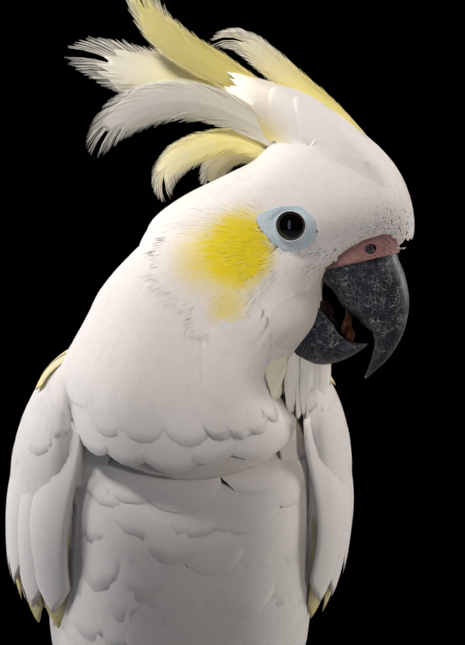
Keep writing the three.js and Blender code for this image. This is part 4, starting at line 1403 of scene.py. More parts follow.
for name, turns in {"left": (0.0, 0.5), "right": (0.5, 1.0)}.items():
    roots = headRoots(faceLook, turns, 11, faceLength, faceWidth)
    roots = kept(roots, ~insideCap(roots["point"]))
    part = layTufts(roots, faceLook, 21, cheekYellow)
    coat("coat_face_" + name, part, faceFinish, faceLook["soft"])
    print("face", name, len(roots["v"]), "tufts")

    roots = headRoots(earLook, turns, 12, lambda p: earLook["length"], lambda p: earLook["width"])
    dice = np.random.default_rng(13)
    mark = cheekYellow(toBird(roots["point"]))
    roots = kept(roots, mark > 0.03 + 0.25 * dice.random(len(mark)))
    fan = (roots["point"] - np.array([1, 0, -8.0])) * np.array([1, 0, 1])
    roots["lie"] = unit(blend(roots["lie"], unit(across(fan, roots["normal"])), 0.75))
    part = layTufts(roots, earLook, 22, unevenYellow(np.random.default_rng(14), len(roots["v"])))
    coat("coat_ear_" + name, part, faceFinish, earLook["soft"])
    print("ear", name, len(roots["v"]), "tufts")


# Body coat: flush tufts on the neck, rows of broad vanes on the ruff, trunk and thighs

ruffForm = hangingForm(neckForm, 0.78)
collarLook = {
    "growth": [[0.06, 5.5], [0.3, 8], [0.45, 12], [0.53, 17]], "count": 5400, "share": 0.68, "stray": 4,
    "rings": 4, "columns": 2, "round": 0.5, "blunt": 1.8, "root": 0.5, "full": 0.45, "fray": 0.04,
    "deep": -2.4, "high": 0.02, "rise": 0.06, "cup": 0.02, "tuck": 0.03, "thick": 0.1, "uneven": 0.03,
    "soft": 0.9,
}
ruffLook = {
    "growth": [[0.5, 19, 22], [0.56, 23, 28], [0.62, 26, 32]],
    "pitch": 0.54, "step": 0.26, "stretch": 0.5, "stray": 6, "jitter": 0.5,
    "rings": 7, "columns": 8, "round": 0.36, "blunt": 2.1, "root": 0.45, "full": 0.45, "fray": 0.012,
    "deep": -3.0, "high": 0.12, "rise": 0.22, "cup": 0.03, "tuck": 0.01, "thick": 0.16, "uneven": 0.15,
    "soft": 0.82,
}
trunkLook = {
    "growth": [[0.07, 24, 27], [0.5, 27, 28], [0.68, 22, 22], [0.8, 18, 16], [0.93, 15, 11]],
    "pitch": 0.56, "step": 0.3, "stretch": 0.3, "stray": 6, "jitter": 0.35,
    "rings": 6, "columns": 6, "round": 0.42, "blunt": 1.9, "root": 0.45, "full": 0.45, "fray": 0.02,
    "deep": -3.2, "high": 0.08, "rise": 0.24, "cup": 0.02, "tuck": 0.012, "thick": 0.12, "uneven": 0.12,
    "soft": 0.78,
}
thighLook = {
    "growth": [[0.2, 15, 10], [0.6, 13, 8], [0.93, 9, 5]],
    "pitch": 0.6, "step": 0.34, "stretch": 0.3, "stray": 5,
    "rings": 5, "columns": 4, "round": 0.5, "blunt": 1.8, "root": 0.45, "full": 0.45, "fray": 0.06,
    "deep": -2.6, "high": 0.1, "rise": 0.4, "cup": 0.04, "thick": 0.12, "uneven": 0.2,
    "soft": 0.5,
}


def layCoat(name, form, roots, look, seed, finish, yellow=0.0, toWorld=None):
    # Feathers wrapped on a form, as one piece.
    coat(name, layFeathers(form, roots, look, seed, yellow, toWorld), finish, look["soft"])
    print(name, len(roots["v"]), "feathers")


def collarRoots(look, seed):
    # Even places on the neck; the length is read from the look's growth by v.
    dice = np.random.default_rng(seed)
    growth = np.array(look["growth"])
    low, high = look.get("turns", (0.0, 1.0))
    v, turn = spread(neckForm, look["count"], (growth[0, 0], low), (growth[-1, 0], high))
    length = np.interp(v, growth[:, 0], growth[:, 1]) * dice.uniform(0.85, 1.15, len(v))
    lean = np.radians(dice.normal(0, look["stray"], len(v)))
    return {"v": v, "turn": turn, "length": length, "width": look["share"] * length + 0.6, "lean": lean}


roots = collarRoots(collarLook, 37)
world = neckForm(roots["v"], roots["turn"], 0.0)
fold = (world[:, 0] > 16) & (world[:, 1] < -18) & (np.abs(world[:, 2] - 237) < 13)
roots = kept(roots, (insideHead(world) > 1.0) & ~fold)
layCoat("coat_collar", ruffForm, roots, collarLook, 38, faceFinish, cheekYellow)

streakLook = dict(earLook, deep=-0.3, high=0.1, uneven=0.04, soft=0.93)
streakPlaces = dict(collarLook, growth=[[0.03, 8], [0.4, 8]], count=16000)
sideLook = dict(
    collarLook, growth=[[0.3, 15], [0.54, 20]], count=210, share=0.75, rings=7, columns=8, turns=(0.04, 0.34),
    high=0.35, rise=0.15, uneven=0.1, soft=0.35,
)


def fanLean(form, v, turn):
    # The angle, on the form's own grid, of the line that leads away from the eye's rear corner.
    here, alongV, alongT = moves(form, v, turn, 0.004)
    fan = unit(here - toBird(np.array([1.0, -16, -8])))
    return np.arctan2((fan * unit(alongT)).sum(-1), (fan * unit(alongV)).sum(-1))


roots = collarRoots(streakPlaces, 51)
world = neckForm(roots["v"], roots["turn"], 0.0)
mark = cheekYellow(world)
dice = np.random.default_rng(52)
roots["lean"] = fanLean(ruffForm, roots["v"], roots["turn"]) + dice.normal(0, 0.08, len(mark))
roots["width"] = dice.uniform(0.9, 1.3, len(mark))
roots = kept(roots, (insideHead(world) > 0.97) & (mark > 0.1 + 0.25 * dice.random(len(mark))))
yellow = unevenYellow(dice, len(roots["v"]))
layCoat("coat_streaks", ruffForm, roots, streakLook, 53, faceFinish, yellow)
roots = collarRoots(sideLook, 54)
roots = kept(roots, insideHead(neckForm(roots["v"], roots["turn"])) > 1.05)
layCoat("coat_throat_side", ruffForm, roots, sideLook, 55, faceFinish)
roots = rowRoots(neckForm, ruffLook, 31)
roots = kept(roots, insideHead(neckForm(roots["v"], roots["turn"])) > 1.1)
layCoat("coat_ruff", ruffForm, roots, ruffLook, 32, whiteFinish, cheekYellow)
roots = rowRoots(trunkForm, trunkLook, 33)
roots = kept(roots, insideSections(neckRows, trunkForm(roots["v"], roots["turn"], -3.0)) > 0.35)
layCoat("coat_trunk", hangingForm(trunkForm, 0.97), roots, trunkLook, 34, whiteFinish)
for name, side in sides.items():
    form = thighForm(side)
    roots = rowRoots(form, thighLook, 35)
    layCoat("coat_thigh_" + name, hangingForm(form, 0.96), roots, thighLook, 36, whiteFinish)


# Wings: coverts on the arm, then the secondaries and primaries as long vanes

covertLook = {
    "growth": [[0.03, 13, 13], [0.15, 19, 17], [0.35, 27, 21], [0.55, 36, 21], [0.64, 36, 21]],
    "pitch": 0.56, "step": 0.26, "stretch": 0.2, "stray": 3, "turns": (-0.34, 0.52), "lean": -7,
    "rings": 7, "columns": 6, "round": 0.4, "blunt": 1.9, "root": 0.5, "full": 0.45, "fray": 0.0,
    "deep": -2.2, "high": 0.12, "rise": 0.14, "cup": 0.02, "tuck": 0.012, "thick": 0.12, "uneven": 0.08,
    "soft": 0.75,
}
innerLook = dict(covertLook, growth=[[0.5, 26, 15], [0.76, 24, 13]], turns=(-0.34, 0.02), lean=0)
longLook = {
    "rings": 20, "columns": 8, "round": 0.2, "blunt": 1.3, "root": 0.6, "full": 0.3, "fray": 0.01,
    "taper": 0.12, "deep": 0, "high": 0, "cup": 0.04, "thick": 0.3, "shaft": 0.25, "uneven": 0.2,
}
longCoverts = {  # tips: place and angle on the wing's shell
    "top": {
        "tips": [
            [3.72, 50], [3.95, 62], [3.9, 76], [4.12, 88], [4.2, 102], [4.4, 115], [4.7, 130], [4.95, 146],
        ],
        "root": 0.9, "lean": 14, "width": 22, "depth": (-5, 0.9), "yellow": 0.03,
    },
    "under": {
        "tips": [[4.06, 50], [4.3, 63], [4.26, 78], [4.42, 92], [4.52, 107], [4.6, 122], [4.62, 138]],
        "root": 2.0, "lean": 8, "width": 15, "depth": (-5, -0.4), "yellow": 0.5,
    },
    "inner": {
        "tips": [[3.75, 45], [3.95, 51]],
        "root": 0.9, "lean": 4, "width": 15, "depth": (-10, -7), "yellow": 0.12,
    },
    "shoulder": {
        "tips": [[0.95, 93], [1.3, 116]],
        "root": 0.0, "lean": 26, "width": 13, "depth": (-1.5, 1.2), "yellow": 0.4,
    },
}
fans = {
    "secondaries": {"root": [[2.4, 163], [2.9, 104]], "tip": [[6.0, 172], [6.7, 130]], "bulge": 0.1,
                    "depth": [-6, -1.6], "count": 10, "width": 17, "layer": 0.22, "yellow": 0.12},
    "primaries": {"root": [[3.1, 128], [3.3, 88]], "tip": [[7.4, 162], [8.4, 108]], "bulge": 0.8,
                  "depth": [-9.5, -4.6], "count": 9, "width": 14, "layer": 0.22, "yellow": 0.22},
}
flightLook = {
    "rings": 40, "columns": 12, "round": 0.09, "blunt": 2.4, "root": 0.55, "full": 0.25, "fray": 0.006,
    "taper": 0.25, "deep": 0, "high": 0, "cup": 0.035, "thick": 0.5, "shaft": 0.5,
}


def shellVanes(root, tip, width, depth, look, side, seed):
    # Each feather runs straight from its root to its tip in (place, angle) on the wing's shell.
    start = wingForm(root[:, 0], root[:, 1], 0.0, side)
    end = wingForm(tip[:, 0], tip[:, 1], 0.0, side)
    length = np.linalg.norm(end - start, axis=-1) * 1.02
    shape = vaneShape(length, np.full(len(root), float(width)), look, seed)
    s = shape["along"] / length[:, None]
    t = blend(root[:, :1], tip[:, :1], s)
    angle = blend(root[:, 1:], tip[:, 1:], s)
    half = sample(wingRows, t)[3]
    angle = angle + np.degrees(shape["across"] / half)
    return wingForm(t, angle, depth(s) + shape["lift"], side), s, shape


def fanFeathers(look, side, seed):
    # The fan's feathers lie between its first and last; the ones nearer the back lie on top.
    a = (np.arange(look["count"]) / (look["count"] - 1))
    root = blend(np.array(look["root"][0])[None], np.array(look["root"][1])[None], a[:, None])
    tip = blend(np.array(look["tip"][0])[None], np.array(look["tip"][1])[None], a[:, None])
    tip[:, 0] += look["bulge"] * np.sin(a * np.pi)
    layer = look["layer"] * (0.5 - a)[:, None] * look["count"]

    def depth(s):
        return blend(look["depth"][0], look["depth"][1], s) + layer * s - 0.35

    points, s, shape = shellVanes(root, tip, look["width"], depth, flightLook, side, seed)
    grid = shape["grid"]
    under = np.where(grid["sheet"] < 0, 0.5, 0.0)[None]
    edge = np.abs(grid["u"])[None] ** 3 * 0.35 + smoothStep(0.82, 1.0, s) * 0.45
    yellow = np.clip(look["yellow"] + under + edge * (0.4 + a[:, None]), 0, 1)
    return finishVanes(points, shape, yellow)


def longCovertFeathers(look, side, seed):
    # Long pointed coverts down the wing's outer face: each rises out of the shell and lies over the next.
    tip = np.array(look["tips"])
    root = np.stack([np.full(len(tip), float(look["root"])), np.minimum(tip[:, 1] + look["lean"], 166)], -1)

    def depth(s):
        return blend(look["depth"][0], look["depth"][1], smoothStep(0.05, 0.7, s))

    points, s, shape = shellVanes(root, tip, look["width"], depth, longLook, side, seed)
    edge = smoothStep(0.75, 1.0, s) * 0.35 + np.abs(shape["grid"]["u"])[None] ** 4 * 0.2
    yellow = np.clip(look["yellow"] * (1 + edge) + edge * 0.3 * (look["yellow"] > 0.1), 0, 1)
    return finishVanes(points, shape, yellow)


for name, side in sides.items():
    form = evenly(armForm(side), 0.4)
    roots = rowRoots(form, covertLook, 41)
    world = form(roots["v"], roots["turn"], 0.0)
    roots = kept(roots, (insideSections(neckRows, world) > 0.9))
    parts = [layFeathers(form, roots, covertLook, 42)]
    parts.append(layFeathers(hangingForm(form, 0.94), rowRoots(form, innerLook, 45), innerLook, 46))
    coat("coat_wing_" + name, joinParts(parts), whiteFinish, covertLook["soft"])
    for layer, look in longCoverts.items():
        part = longCovertFeathers(look, side, 44)
        finish = flightFinish if layer == "under" else whiteFinish
        makePiece("coverts_" + name + "_" + layer, part, finish)
    print("wing", name, len(roots["v"]), "coverts")
    for fan, look in fans.items():
        node = fan + "_" + name
        makePiece(node + "_vanes", fanFeathers(look, side, 43), flightFinish, [node])


# Tail: twelve long vanes in a closed fan, the middle ones on top, tips on the floor

tailLook = {
    "rootY": 66, "rootZ": 118, "rootHalf": 11, "tipZ": 0.9, "tipHalf": 27,
    "length": 168, "vane": 165.0, "count": 12, "width": 17,
}


def makeTail(look):
    # A feather keeps its share u of the fan's half width; the fan falls along (1 - s) to the power 1.28.
    count = look["count"]
    run = 0.985 * math.sqrt(look["length"] ** 2 - look["rootZ"] ** 2)
    centre = (np.arange(count) + 0.5) / count * 2 - 1
    vaneLook = dict(flightLook, round=0.10, taper=0.05, root=0.5, full=0.5)
    shape = vaneShape(np.full(count, look["vane"]), np.full(count, look["width"]), vaneLook, 51)
    s = shape["along"] / look["vane"]
    half = blend(look["rootHalf"], look["tipHalf"], s ** 0.8)
    u = centre[:, None] * 0.74 + shape["across"] / half
    roof = blend(4.5, 0.9, s) * (1 - np.clip(u, -1.2, 1.2) ** 2)
    fall = (look["rootZ"] - look["tipZ"]) * (1 - s) ** 1.28
    layer = 0.22 * (6 - np.abs(np.arange(count) - 5.5))[:, None] - 1.2 + shape["lift"] * 0.8
    y = look["rootY"] + run * s * (1 - 0.035 * u ** 2)
    points = xyz(half * u, y, np.maximum(look["tipZ"] + fall + roof + layer, 0.12))
    under = np.where(shape["grid"]["sheet"] < 0, 0.5, 0.0)[None]
    yellow = np.clip(0.08 + under + 0.25 * smoothStep(0.85, 1, s), 0, 1)
    makePiece("tail_vanes", finishVanes(points, shape, yellow), flightFinish, ["tail"])


makeTail(tailLook)
print("wings and tail ready")


# Crest: each plume is a narrow vane fringed with single barbs that bend along with it

plumes = {  # headings: degrees above the bill's direction at equal steps from root to tip
    "crest_1": {
        "root": [24, 1.5, 24], "length": 66, "headings": [132, 137, 143, 141, 146, 206],
        "width": 9.5, "lean": 3, "twist": 22, "yellow": (0.75, 0.35),
    },
    "crest_2": {
        "root": [5, -1.5, 26], "length": 86, "headings": [134, 140, 148, 149, 122, 98],
        "width": 12.5, "lean": 0, "twist": -24, "yellow": (0.8, 0.7),
    },
    "crest_3": {
        "root": [2, 4, 25], "length": 88, "headings": [138, 147, 152, 178, 160, 178],
        "width": 18, "lean": 5, "twist": 20, "yellow": (0.75, 0.2),
    },
    "crest_4": {
        "root": [0, -4, 24], "length": 76, "headings": [142, 150, 163, 186, 214, 252],
        "width": 14.5, "lean": -5, "twist": -20, "yellow": (0.25, 0.0),
    },
    "crest_5": {
        "root": [-6, -1, 22], "length": 50, "headings": [150, 160, 190, 203, 240, 300],
        "width": 11, "lean": -4, "twist": 16, "yellow": (0.7, 0.45),
    },
    "crest_6": {
        "root": [-8, 4.5, 21], "length": 30, "headings": [160, 166, 180, 215, 240, 258],
        "width": 9, "lean": 6, "twist": -16, "yellow": (0.55, 0.4),
    },
}
plumeLook = {
    "rings": 40, "columns": 14, "round": 0.16, "blunt": 2, "root": 0.55, "full": 0.8, "fray": 0.1,
    "deep": 0, "high": 0, "cup": 0.1, "thick": 0.5, "shaft": 0.4, "core": 0.86, "reach": 0.93,
    "barbs": 290, "barbSteps": 6, "barbWidth": 0.32, "barbThick": 0.1, "forward": 0.32,
}


def plumeLine(plume, s):
    # The centre line is the running sum of directions whose heading changes along it; past the tip it runs on
    # straight.
    steps = 80
    rows = [[i / (len(plume["headings"]) - 1), value] for i, value in enumerate(plume["headings"])]
    at = np.linspace(0, 1, steps + 1)
    heading = np.radians(sample(rows, at)[0])
    lean = math.radians(plume["lean"])
    direction = xyz(np.cos(heading) * math.cos(lean), math.sin(lean), np.sin(heading) * math.cos(lean))
    path = np.concatenate([np.zeros((1, 3)), np.cumsum(direction[:-1], 0)])
    line = np.array(plume["root"]) + path * plume["length"] / steps
    within = np.clip(s, 0, 1)

    def between(columns):
        return np.stack([np.interp(within, at, columns[:, k]) for k in range(3)], -1)

    heading = unit(between(direction))
    place = between(line) + heading * ((s - within) * plume["length"])[..., None]
    twist = np.radians(90 + plume["twist"] * (1 - 0.5 * within))
    side = rotated(xyz(0 * s, 1.0, 0.0), heading, twist)
    return place, side, np.cross(heading, side)


def plumeWidth(plume, s):
    # Opens as a quarter sine and is rounded off by the root of 1 - s^7.
    opened = blend(0.4, 1, np.sin(np.minimum(s / plumeLook["full"], 1) * np.pi / 2))
    return plume["width"] * opened * np.sqrt(np.clip(1 - s ** 7, 0, 1))


def plumeYellow(plume, s):
    # From the root's yellow to the tip's over the outer two thirds.
    return blend(plume["yellow"][0], plume["yellow"][1], smoothStep(0.35, 1.0, s))


def plumeCore(plume, look, seed):
    # One narrow vane along the centre line, under the barbs.
    shape = vaneShape(np.array([plume["length"]]), np.array([plume["width"] * look["core"]]), look, seed)
    s = shape["along"] / plume["length"]
    place, side, up = plumeLine(plume, s * look["reach"])
    points = place + side * shape["across"][..., None] + up * shape["lift"][..., None]
    yellow = plumeYellow(plume, s) * smoothStep(0.0, 0.3, s + 0.1)
    part = finishVanes(toBird(points), shape, yellow)
    grid = shape["grid"]
    part["OFBake"] = np.stack([0.25 + 0.22 * grid["u"], 0.02 + 0.96 * grid["s"]], -1)
    return part


def plumeBarbs(plume, look, seed):
    # A barb leaves the shaft at a small angle and ends on the plume's rounded outline, so that those of the
    # tip run along with the shaft; it is a three-sided blade that thins to its end.
    dice = np.random.default_rng(seed)
    count = look["barbs"] * 2
    end = np.tile(np.linspace(0.16, 1.0, look["barbs"]), 2) + dice.normal(0, 0.006, count)
    sign = np.repeat([1.0, -1.0], look["barbs"])
    forward = look["forward"] * dice.uniform(0.9, 1.1, count)
    reach = dice.uniform(0.9, 1.08, count) + 0.1 * (dice.random(count) < 0.06)
    q = np.linspace(0, 1, look["barbSteps"] + 1)[None, :, None]
    corner = np.arange(3)[None, None, :] / 3 * tau
    tip = end[:, None, None]
    s = tip - forward[:, None, None] * (1 - q) + 0 * corner
    s = s + 0.03 * dice.random(count)[:, None, None] * q * smoothStep(0.7, 1.0, tip)
    wide = plumeWidth(plume, np.clip(tip, 0, 0.995)) / 2
    out = sign[:, None, None] * wide * reach[:, None, None] * q ** 1.15
    wander = dice.normal(0, 0.3, count)[:, None, None] * q ** 2
    thick = (1 - 0.88 * q ** 1.3) * (0.6 + 0.4 * np.minimum(q * 6, 1))
    blade = thick * look["barbWidth"] * np.cos(corner)
    cup = -look["cup"] * plume["width"] * (2 * out / plume["width"]) ** 2
    place, side, up = plumeLine(plume, s + blade * 0.3 / plume["length"])
    points = place + side * (out + wander * 0.6 + blade * 0.8)[..., None]
    points = points + up * (cup + wander + thick * look["barbThick"] * np.sin(corner))[..., None]
    each = (look["barbSteps"] + 1) * 3
    index = np.arange(each).reshape(-1, 3)
    caps = np.array([index[0][::-1], index[-1]])
    base = (np.arange(count) * each)[:, None, None]
    yellow = plumeYellow(plume, s) * (1 - 0.5 * q ** 2 * smoothStep(0.5, 0.9, s)) + 0 * corner
    tone = dice.random(count)[:, None, None]
    marks = xyz(yellow, tone, q).reshape(-1, 3)
    across = 0.75 + 0.22 * sign[:, None, None] * q
    bake = np.stack(np.broadcast_arrays(across, 0.02 + 0.92 * np.clip(s, 0, 1.04)), -1)
    bake = bake + 0.0015 * np.stack(np.broadcast_arrays(np.cos(corner), np.sin(corner)), -1)
    vane = np.stack(np.broadcast_arrays(q * 9 + tone * 31, 0 * s), -1)
    return {
        "points": toBird(points).reshape(-1, 3),
        "quads": (ringQuads(index)[None] + base).reshape(-1, 4),
        "tris": (caps[None] + base).reshape(-1, 3),
        "marks": marks,
        "vane": vane.reshape(-1, 2),
        "OFBake": (bake + np.zeros((*s.shape, 2))).reshape(-1, 2),
        "sheet": np.zeros(marks.shape[0]),
    }


for number, (name, plume) in enumerate(plumes.items()):
    core = facingOut(plumeCore(plume, plumeLook, 60 + number))
    barbs = facingOut(plumeBarbs(plume, plumeLook, 70 + number))
    makePiece(name + "_plume", joinParts([core, barbs]), crestFinish, [name])
print("crest ready")


# Crown: long smooth feathers over the mound, and a few broad ones whose edges show as soft creases

capLook = {
    "growth": [[0.06, 8, 5], [0.3, 13, 6.5], [0.5, 17, 7], [0.74, 19, 6.5]],
    "pitch": 0.5, "step": 0.2, "stretch": 0.2, "stray": 3.5,
    "rings": 6, "columns": 4, "round": 0.4, "blunt": 1.7, "root": 0.5, "full": 0.45, "fray": 0.04,
    "deep": -1.0, "high": 0.04, "rise": 0.08, "cup": 0.02, "tuck": 0.02, "thick": 0.1, "uneven": 0.03,
    "soft": 0.88,
}
creaseLook = {
    "rings": 14, "columns": 10, "round": 0.3, "blunt": 2, "root": 0.5, "full": 0.5, "fray": 0.0,
    "deep": -1.4, "high": 0.6, "rise": 0.3, "cup": 0.03, "tuck": 0.01, "thick": 0.16, "uneven": 0.2,
    "soft": 0.55,
}


def creamTint(points):
    # Soft cream over the rear of the mound, where the yellow plumes leave it.
    p = toHead(points)
    low = smoothStep(4, -14, p[..., 0]) * smoothStep(40, 26, p[..., 2])
    return 0.6 * low + 0.2 * smoothStep(12, -12, p[..., 0])


def makeCrown():
    # Rows of feathers down the mound, and eight broad ones laid over them.
    form = hangingForm(capForm, 0.74)
    roots = rowRoots(capForm, capLook, 81)
    roots = kept(roots, insideHead(toBird(capForm(roots["v"], roots["turn"]))) > 0.9)
    layCoat("coat_crown", form, roots, capLook, 82, faceFinish, creamTint, toBird)
    broad = np.array([  # v, turn, length, width, lean
        [0.08, -0.06, 30, 17, -6], [0.1, -0.2, 27, 16, -9], [0.1, 0.08, 30, 17, 6], [0.1, 0.22, 27, 16, 9],
        [0.26, -0.14, 32, 18, -3], [0.26, 0.12, 32, 18, 3], [0.4, -0.2, 30, 17, 2], [0.4, 0.2, 30, 17, -2],
    ]).T
    roots = dict(zip(("v", "turn", "length", "width", "lean"), broad))
    roots["lean"] = np.radians(roots["lean"])
    layCoat("coat_brow", form, roots, creaseLook, 83, faceFinish, creamTint, toBird)


makeCrown()


# Throat: long pointed feathers that hang below the bill

throatLook = {
    "rings": 22, "columns": 10, "round": 0.5, "blunt": 1.5, "root": 0.7, "full": 0.3, "fray": 0.06,
    "deep": 0, "high": 0, "cup": 0.08, "thick": 0.5, "shaft": 0.3,
}


def hangingVanes(root, fall, width, yellow, seed):
    # Root + fall * s, bowed out a little, with the vane across a slanting line.
    dice = np.random.default_rng(seed)
    count = len(root)
    length = np.linalg.norm(fall, axis=1)
    shape = vaneShape(length, dice.uniform(width[0], width[1], count), throatLook, seed + 1)
    s = (shape["along"] / length[:, None])[..., None]
    bow = np.array([5.0, 0, 0]) * s * (1 - s)
    away = dice.uniform(-1.2, 1.2, count)[:, None, None]
    points = root[:, None] + fall[:, None] * s + bow + np.array([0.9, 0.42, 0]) * shape["across"][..., None]
    points = points + np.array([0.42, -0.9, 0]) * (shape["lift"][..., None] + away)
    return finishVanes(points, shape, yellow + 0 * s[..., 0])


def makeThroat():
    # A fan of feathers round the throat's left side, and eight short ones under the bill.
    dice = np.random.default_rng(91)
    n = np.linspace(-2.9, 2.35, 17)
    height = np.interp(n, [-2.9, 0, 0.8, 1.4, 2.4], [251.6, 256, 254, 246, 243])
    root = xyz(33 + 3.6 * n + 0.55 * np.minimum(n, 0) ** 2, -22 + 7 * n, height)
    drop = np.interp(n, [-2.9, 0, 0.8, 1.4, 2.4], [28, 34, 38, 34, 28]) * dice.uniform(0.72, 1.02, 17)
    part = hangingVanes(root, xyz(-1 + 0.5 * n, -1, -drop), (8, 12), 0.3, 92)
    makePiece("throat_vanes", part, crestFinish, ["throat"])
    n = np.linspace(0, 1, 8)
    drop = np.interp(n, [0, 0.4, 1], [19, 26, 21]) * dice.uniform(0.84, 1.04, 8)
    root = xyz(31 + 11 * n, -34 + 2 * n, 242 - 2 * n)
    part = hangingVanes(root, xyz(-2, 0, -drop), (6, 8.5), 0.12, 94)
    makePiece("coat_throat_front", part, crestFinish)


makeThroat()


# Feet: shank and toes joined by a fine remesh, with scutes across their tops, and horn claws

footLook = {"side": 22, "back": 27, "toeRadius": 3.9, "voxel": 0.0005, "smooth": 2}
toes = {
    "front_outer": {"heading": 12, "length": 40, "claw": 14},
    "front_inner": {"heading": -20, "length": 29, "claw": 12},
    "back_outer": {"heading": 148, "length": 36, "claw": 13},
    "back_inner": {"heading": 200, "length": 21, "claw": 11},
}
shankRows = numbered([[9, 40, 4.4], [9, 31, 5.4], [6, 21, 4.8], [2.6, 11, 5], [0.4, 5, 5.4], [0, 3, 4]])


def toed(toe, side, out, wide, height):
    # Points by their distance out along the toe's heading, across it and up.
    angle = math.radians(toe["heading"])
    ahead = (side * math.sin(angle), -math.cos(angle))
    return xyz(ahead[0] * out - ahead[1] * wide, ahead[1] * out + ahead[0] * wide, height)


def toeGrid(toe, side):
    # A tapering tube with rounded pads below and low scutes above, flattened where it meets the floor.
    v, turn = ringed(70, 40)
    c, s = circle(turn)
    radius = footLook["toeRadius"] * (1 - 0.2 * v) * np.sqrt(1 - (v * 0.97) ** 8)
    joints = toe["length"] / 10
    pads = 1 + 0.07 * np.cos(v * tau * joints) * (s < 0)
    scutes = 1 + 0.05 * np.abs(np.sin(v * toe["length"] * 1.25)) * smoothStep(-0.1, 0.6, s)
    radius = radius * pads * scutes * 0.97
    height = np.maximum(radius * 0.84 + s * radius, 0.02)
    return toed(toe, side, toe["length"] * v, c * radius, height)


def shankGrid():
    # A round tube that leans, with low scutes on its front.
    v, turn = ringed(70, 48)
    y, z, radius = sampled(shankRows, v)
    c, s = circle(turn)
    scutes = 1 + 0.045 * np.abs(np.sin(z * 1.05)) * smoothStep(0.2, -0.6, s)
    return xyz(c * radius * scutes, y + s * radius * 1.08 * scutes, z)


def footMarks(points):
    # No point is below the floor, and the skin is paler within 4 mm of it.
    points[:, 2] = np.maximum(points[:, 2], 0.00005)
    return xyz(0.25 * smoothStep(0.004, 0.0, points[:, 2]), 0.5, 0.0)


def makeFoot(name, side):
    # Shank and toes become one skin; each claw is a piece of its own.
    origin = np.array([side * footLook["side"], footLook["back"], 0.0])
    grids = [shankGrid()] + [toeGrid(toe, side) for toe in toes.values()]
    parts = [tubePart(grid + origin) for grid in grids]
    finish = fleshFinishes["foot skin"]
    remade("foot_" + name + "_skin", parts, finish, footLook, footMarks, ["foot_" + name])
    for toeName, toe in toes.items():
        node = "claw_" + name + "_" + toeName
        part = plainMarks(tubePart(clawGrid(toe, side) + origin))
        makePiece(node + "_horn", part, clawFinish, [node])


def clawGrid(toe, side):
    # A tapering arc that leaves the toe's end, rises a little and comes down to the floor.
    bend = math.radians(78)
    radius = toe["claw"] / bend
    start = math.radians(22)
    v, turn = ringed(40, 24)
    c, s = circle(turn)
    sweep = v * bend - start
    out = toe["length"] - 3.2 + radius * (np.sin(sweep) + math.sin(start))
    height = 4.1 + radius * (np.cos(sweep) - math.cos(start))
    thick = blend(2.1, 0.3, v ** 1.3)
    rise = np.maximum(height + np.cos(sweep) * thick * s, 0.05)
    return toed(toe, side, out + np.sin(sweep) * thick * s, c * thick * 0.8, rise)


for name, side in sides.items():
    makeFoot(name, side)
print("feet ready")


# Floor, light and camera

floorWidth = 1.15


def makeFloor():
    sheet = Sheet("floor", Roughness=0.85, Specular_IOR_Level=0.2)
    grain = sheet.noise(sheet.place(0.02), 4.0)
    colour = sheet.mixed(grain, (0.72, 0.70, 0.68), (0.66, 0.64, 0.62))
    half = floorWidth / 2
    mesh = bpy.data.meshes.new("floor")
    corners = [(-half, -half, 0), (half, -half, 0), (half, half, 0), (-half, half, 0)]
    mesh.from_pydata(corners, [], [(0, 1, 2, 3)])
    mesh.materials.append(sheet.finish(colour))
    floor = linked("floor", mesh)


def aim(thing, where, target):
    thing.location = where
    thing.rotation_euler = (Vector(target) - Vector(where)).to_track_quat("-Z", "Y").to_euler()


def makeLamp(name, look, target):
    lamp = bpy.data.lights.new(name, look["kind"])
    if look["kind"] == "SPOT":
        lamp.spot_size = math.radians(look["cone"])
        lamp.spot_blend = 1.0
        lamp.shadow_soft_size = look["size"]
    else:
        lamp.shape = "RECTANGLE"
        lamp.size = look["size"][0]
        lamp.size_y = look["size"][1]
    lamp.energy = look["power"]
    lamp.color = look["colour"]
    thing = linked(name, lamp)
    thing.visible_glossy = look.get("shine", True)
    if look["kind"] == "AREA":
        lamp.spread = math.radians(look.get("spread", 180))
    aim(thing, look["where"], target)


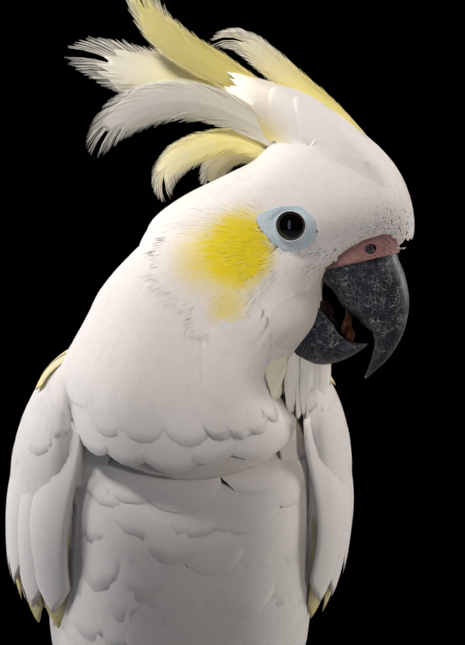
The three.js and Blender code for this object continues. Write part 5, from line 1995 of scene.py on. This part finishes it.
lamps = {
    "key": {
        "kind": "SPOT", "where": (-0.48, -0.6, 1.1), "cone": 24, "size": 0.13, "power": 50,
        "shine": False, "colour": (1, 0.955, 0.91), "target": (0.0, -0.09, 0.358),
    },
    "fill": {
        "kind": "SPOT", "where": (0.5, -0.95, 0.32), "cone": 15, "size": 0.08, "power": 18,
        "shine": False, "colour": (1, 0.94, 0.89), "target": (0.043, -0.1, 0.255),
    },
    "left": {
        "kind": "AREA", "where": (-0.95, 0.22, 0.5), "size": (0.3, 0.4), "spread": 36, "power": 0.6,
        "shine": False, "colour": (0.97, 0.98, 1), "target": (0.0, -0.06, 0.31),
    },
    "side": {
        "kind": "AREA", "where": (0.9, 0.15, 0.5), "size": (0.3, 0.5), "spread": 60, "power": 0.75,
        "colour": (1, 0.98, 0.96),
    },
    "back": {
        "kind": "AREA", "where": (-0.45, 0.8, 0.75), "size": (0.6, 0.5), "spread": 60, "power": 0.2,
        "colour": (0.96, 0.98, 1),
    },
    "strip": {
        "kind": "AREA", "where": (-0.42, -0.97, 0.37), "size": (0.2, 0.8), "power": 0.8,
        "colour": (0.6, 0.75, 1),
    },
}
view = {
    "azimuth": -4, "elevation": 4, "distance": 1100, "target": (0, -28, 249.79), "side": 13.6, "lens": 188.9,
}


def makeCamera():
    azimuth = math.radians(view["azimuth"])
    elevation = math.radians(view["elevation"])
    right = np.array([math.cos(azimuth), math.sin(azimuth), 0])
    level = math.cos(elevation)
    towards = np.array([math.sin(azimuth) * level, -math.cos(azimuth) * level, math.sin(elevation)])
    target = np.array(view["target"]) + right * view["side"] + shift
    data = bpy.data.cameras.new("camera")
    data.sensor_fit = "AUTO"
    data.sensor_width = 36
    data.lens = view["lens"]
    data.clip_start = 0.05
    camera = linked("camera", data)
    aim(camera, tuple((target + towards * view["distance"]) * 0.001), tuple(target * 0.001))
    bpy.context.scene.camera = camera


makeFloor()
for name, lamp in lamps.items():
    makeLamp(name, lamp, lamp.get("target", (0.0, -0.06, 0.25)))
makeCamera()
world = bpy.data.worlds.new("studio")
world.use_nodes = True
world.node_tree.nodes["Background"].inputs["Color"].default_value = (0.0, 0.0, 0.0, 1)
world.node_tree.nodes["Background"].inputs["Strength"].default_value = 0.0
bpy.context.scene.world = world
bpy.context.scene.view_settings.view_transform = "Standard"
print("stage ready")
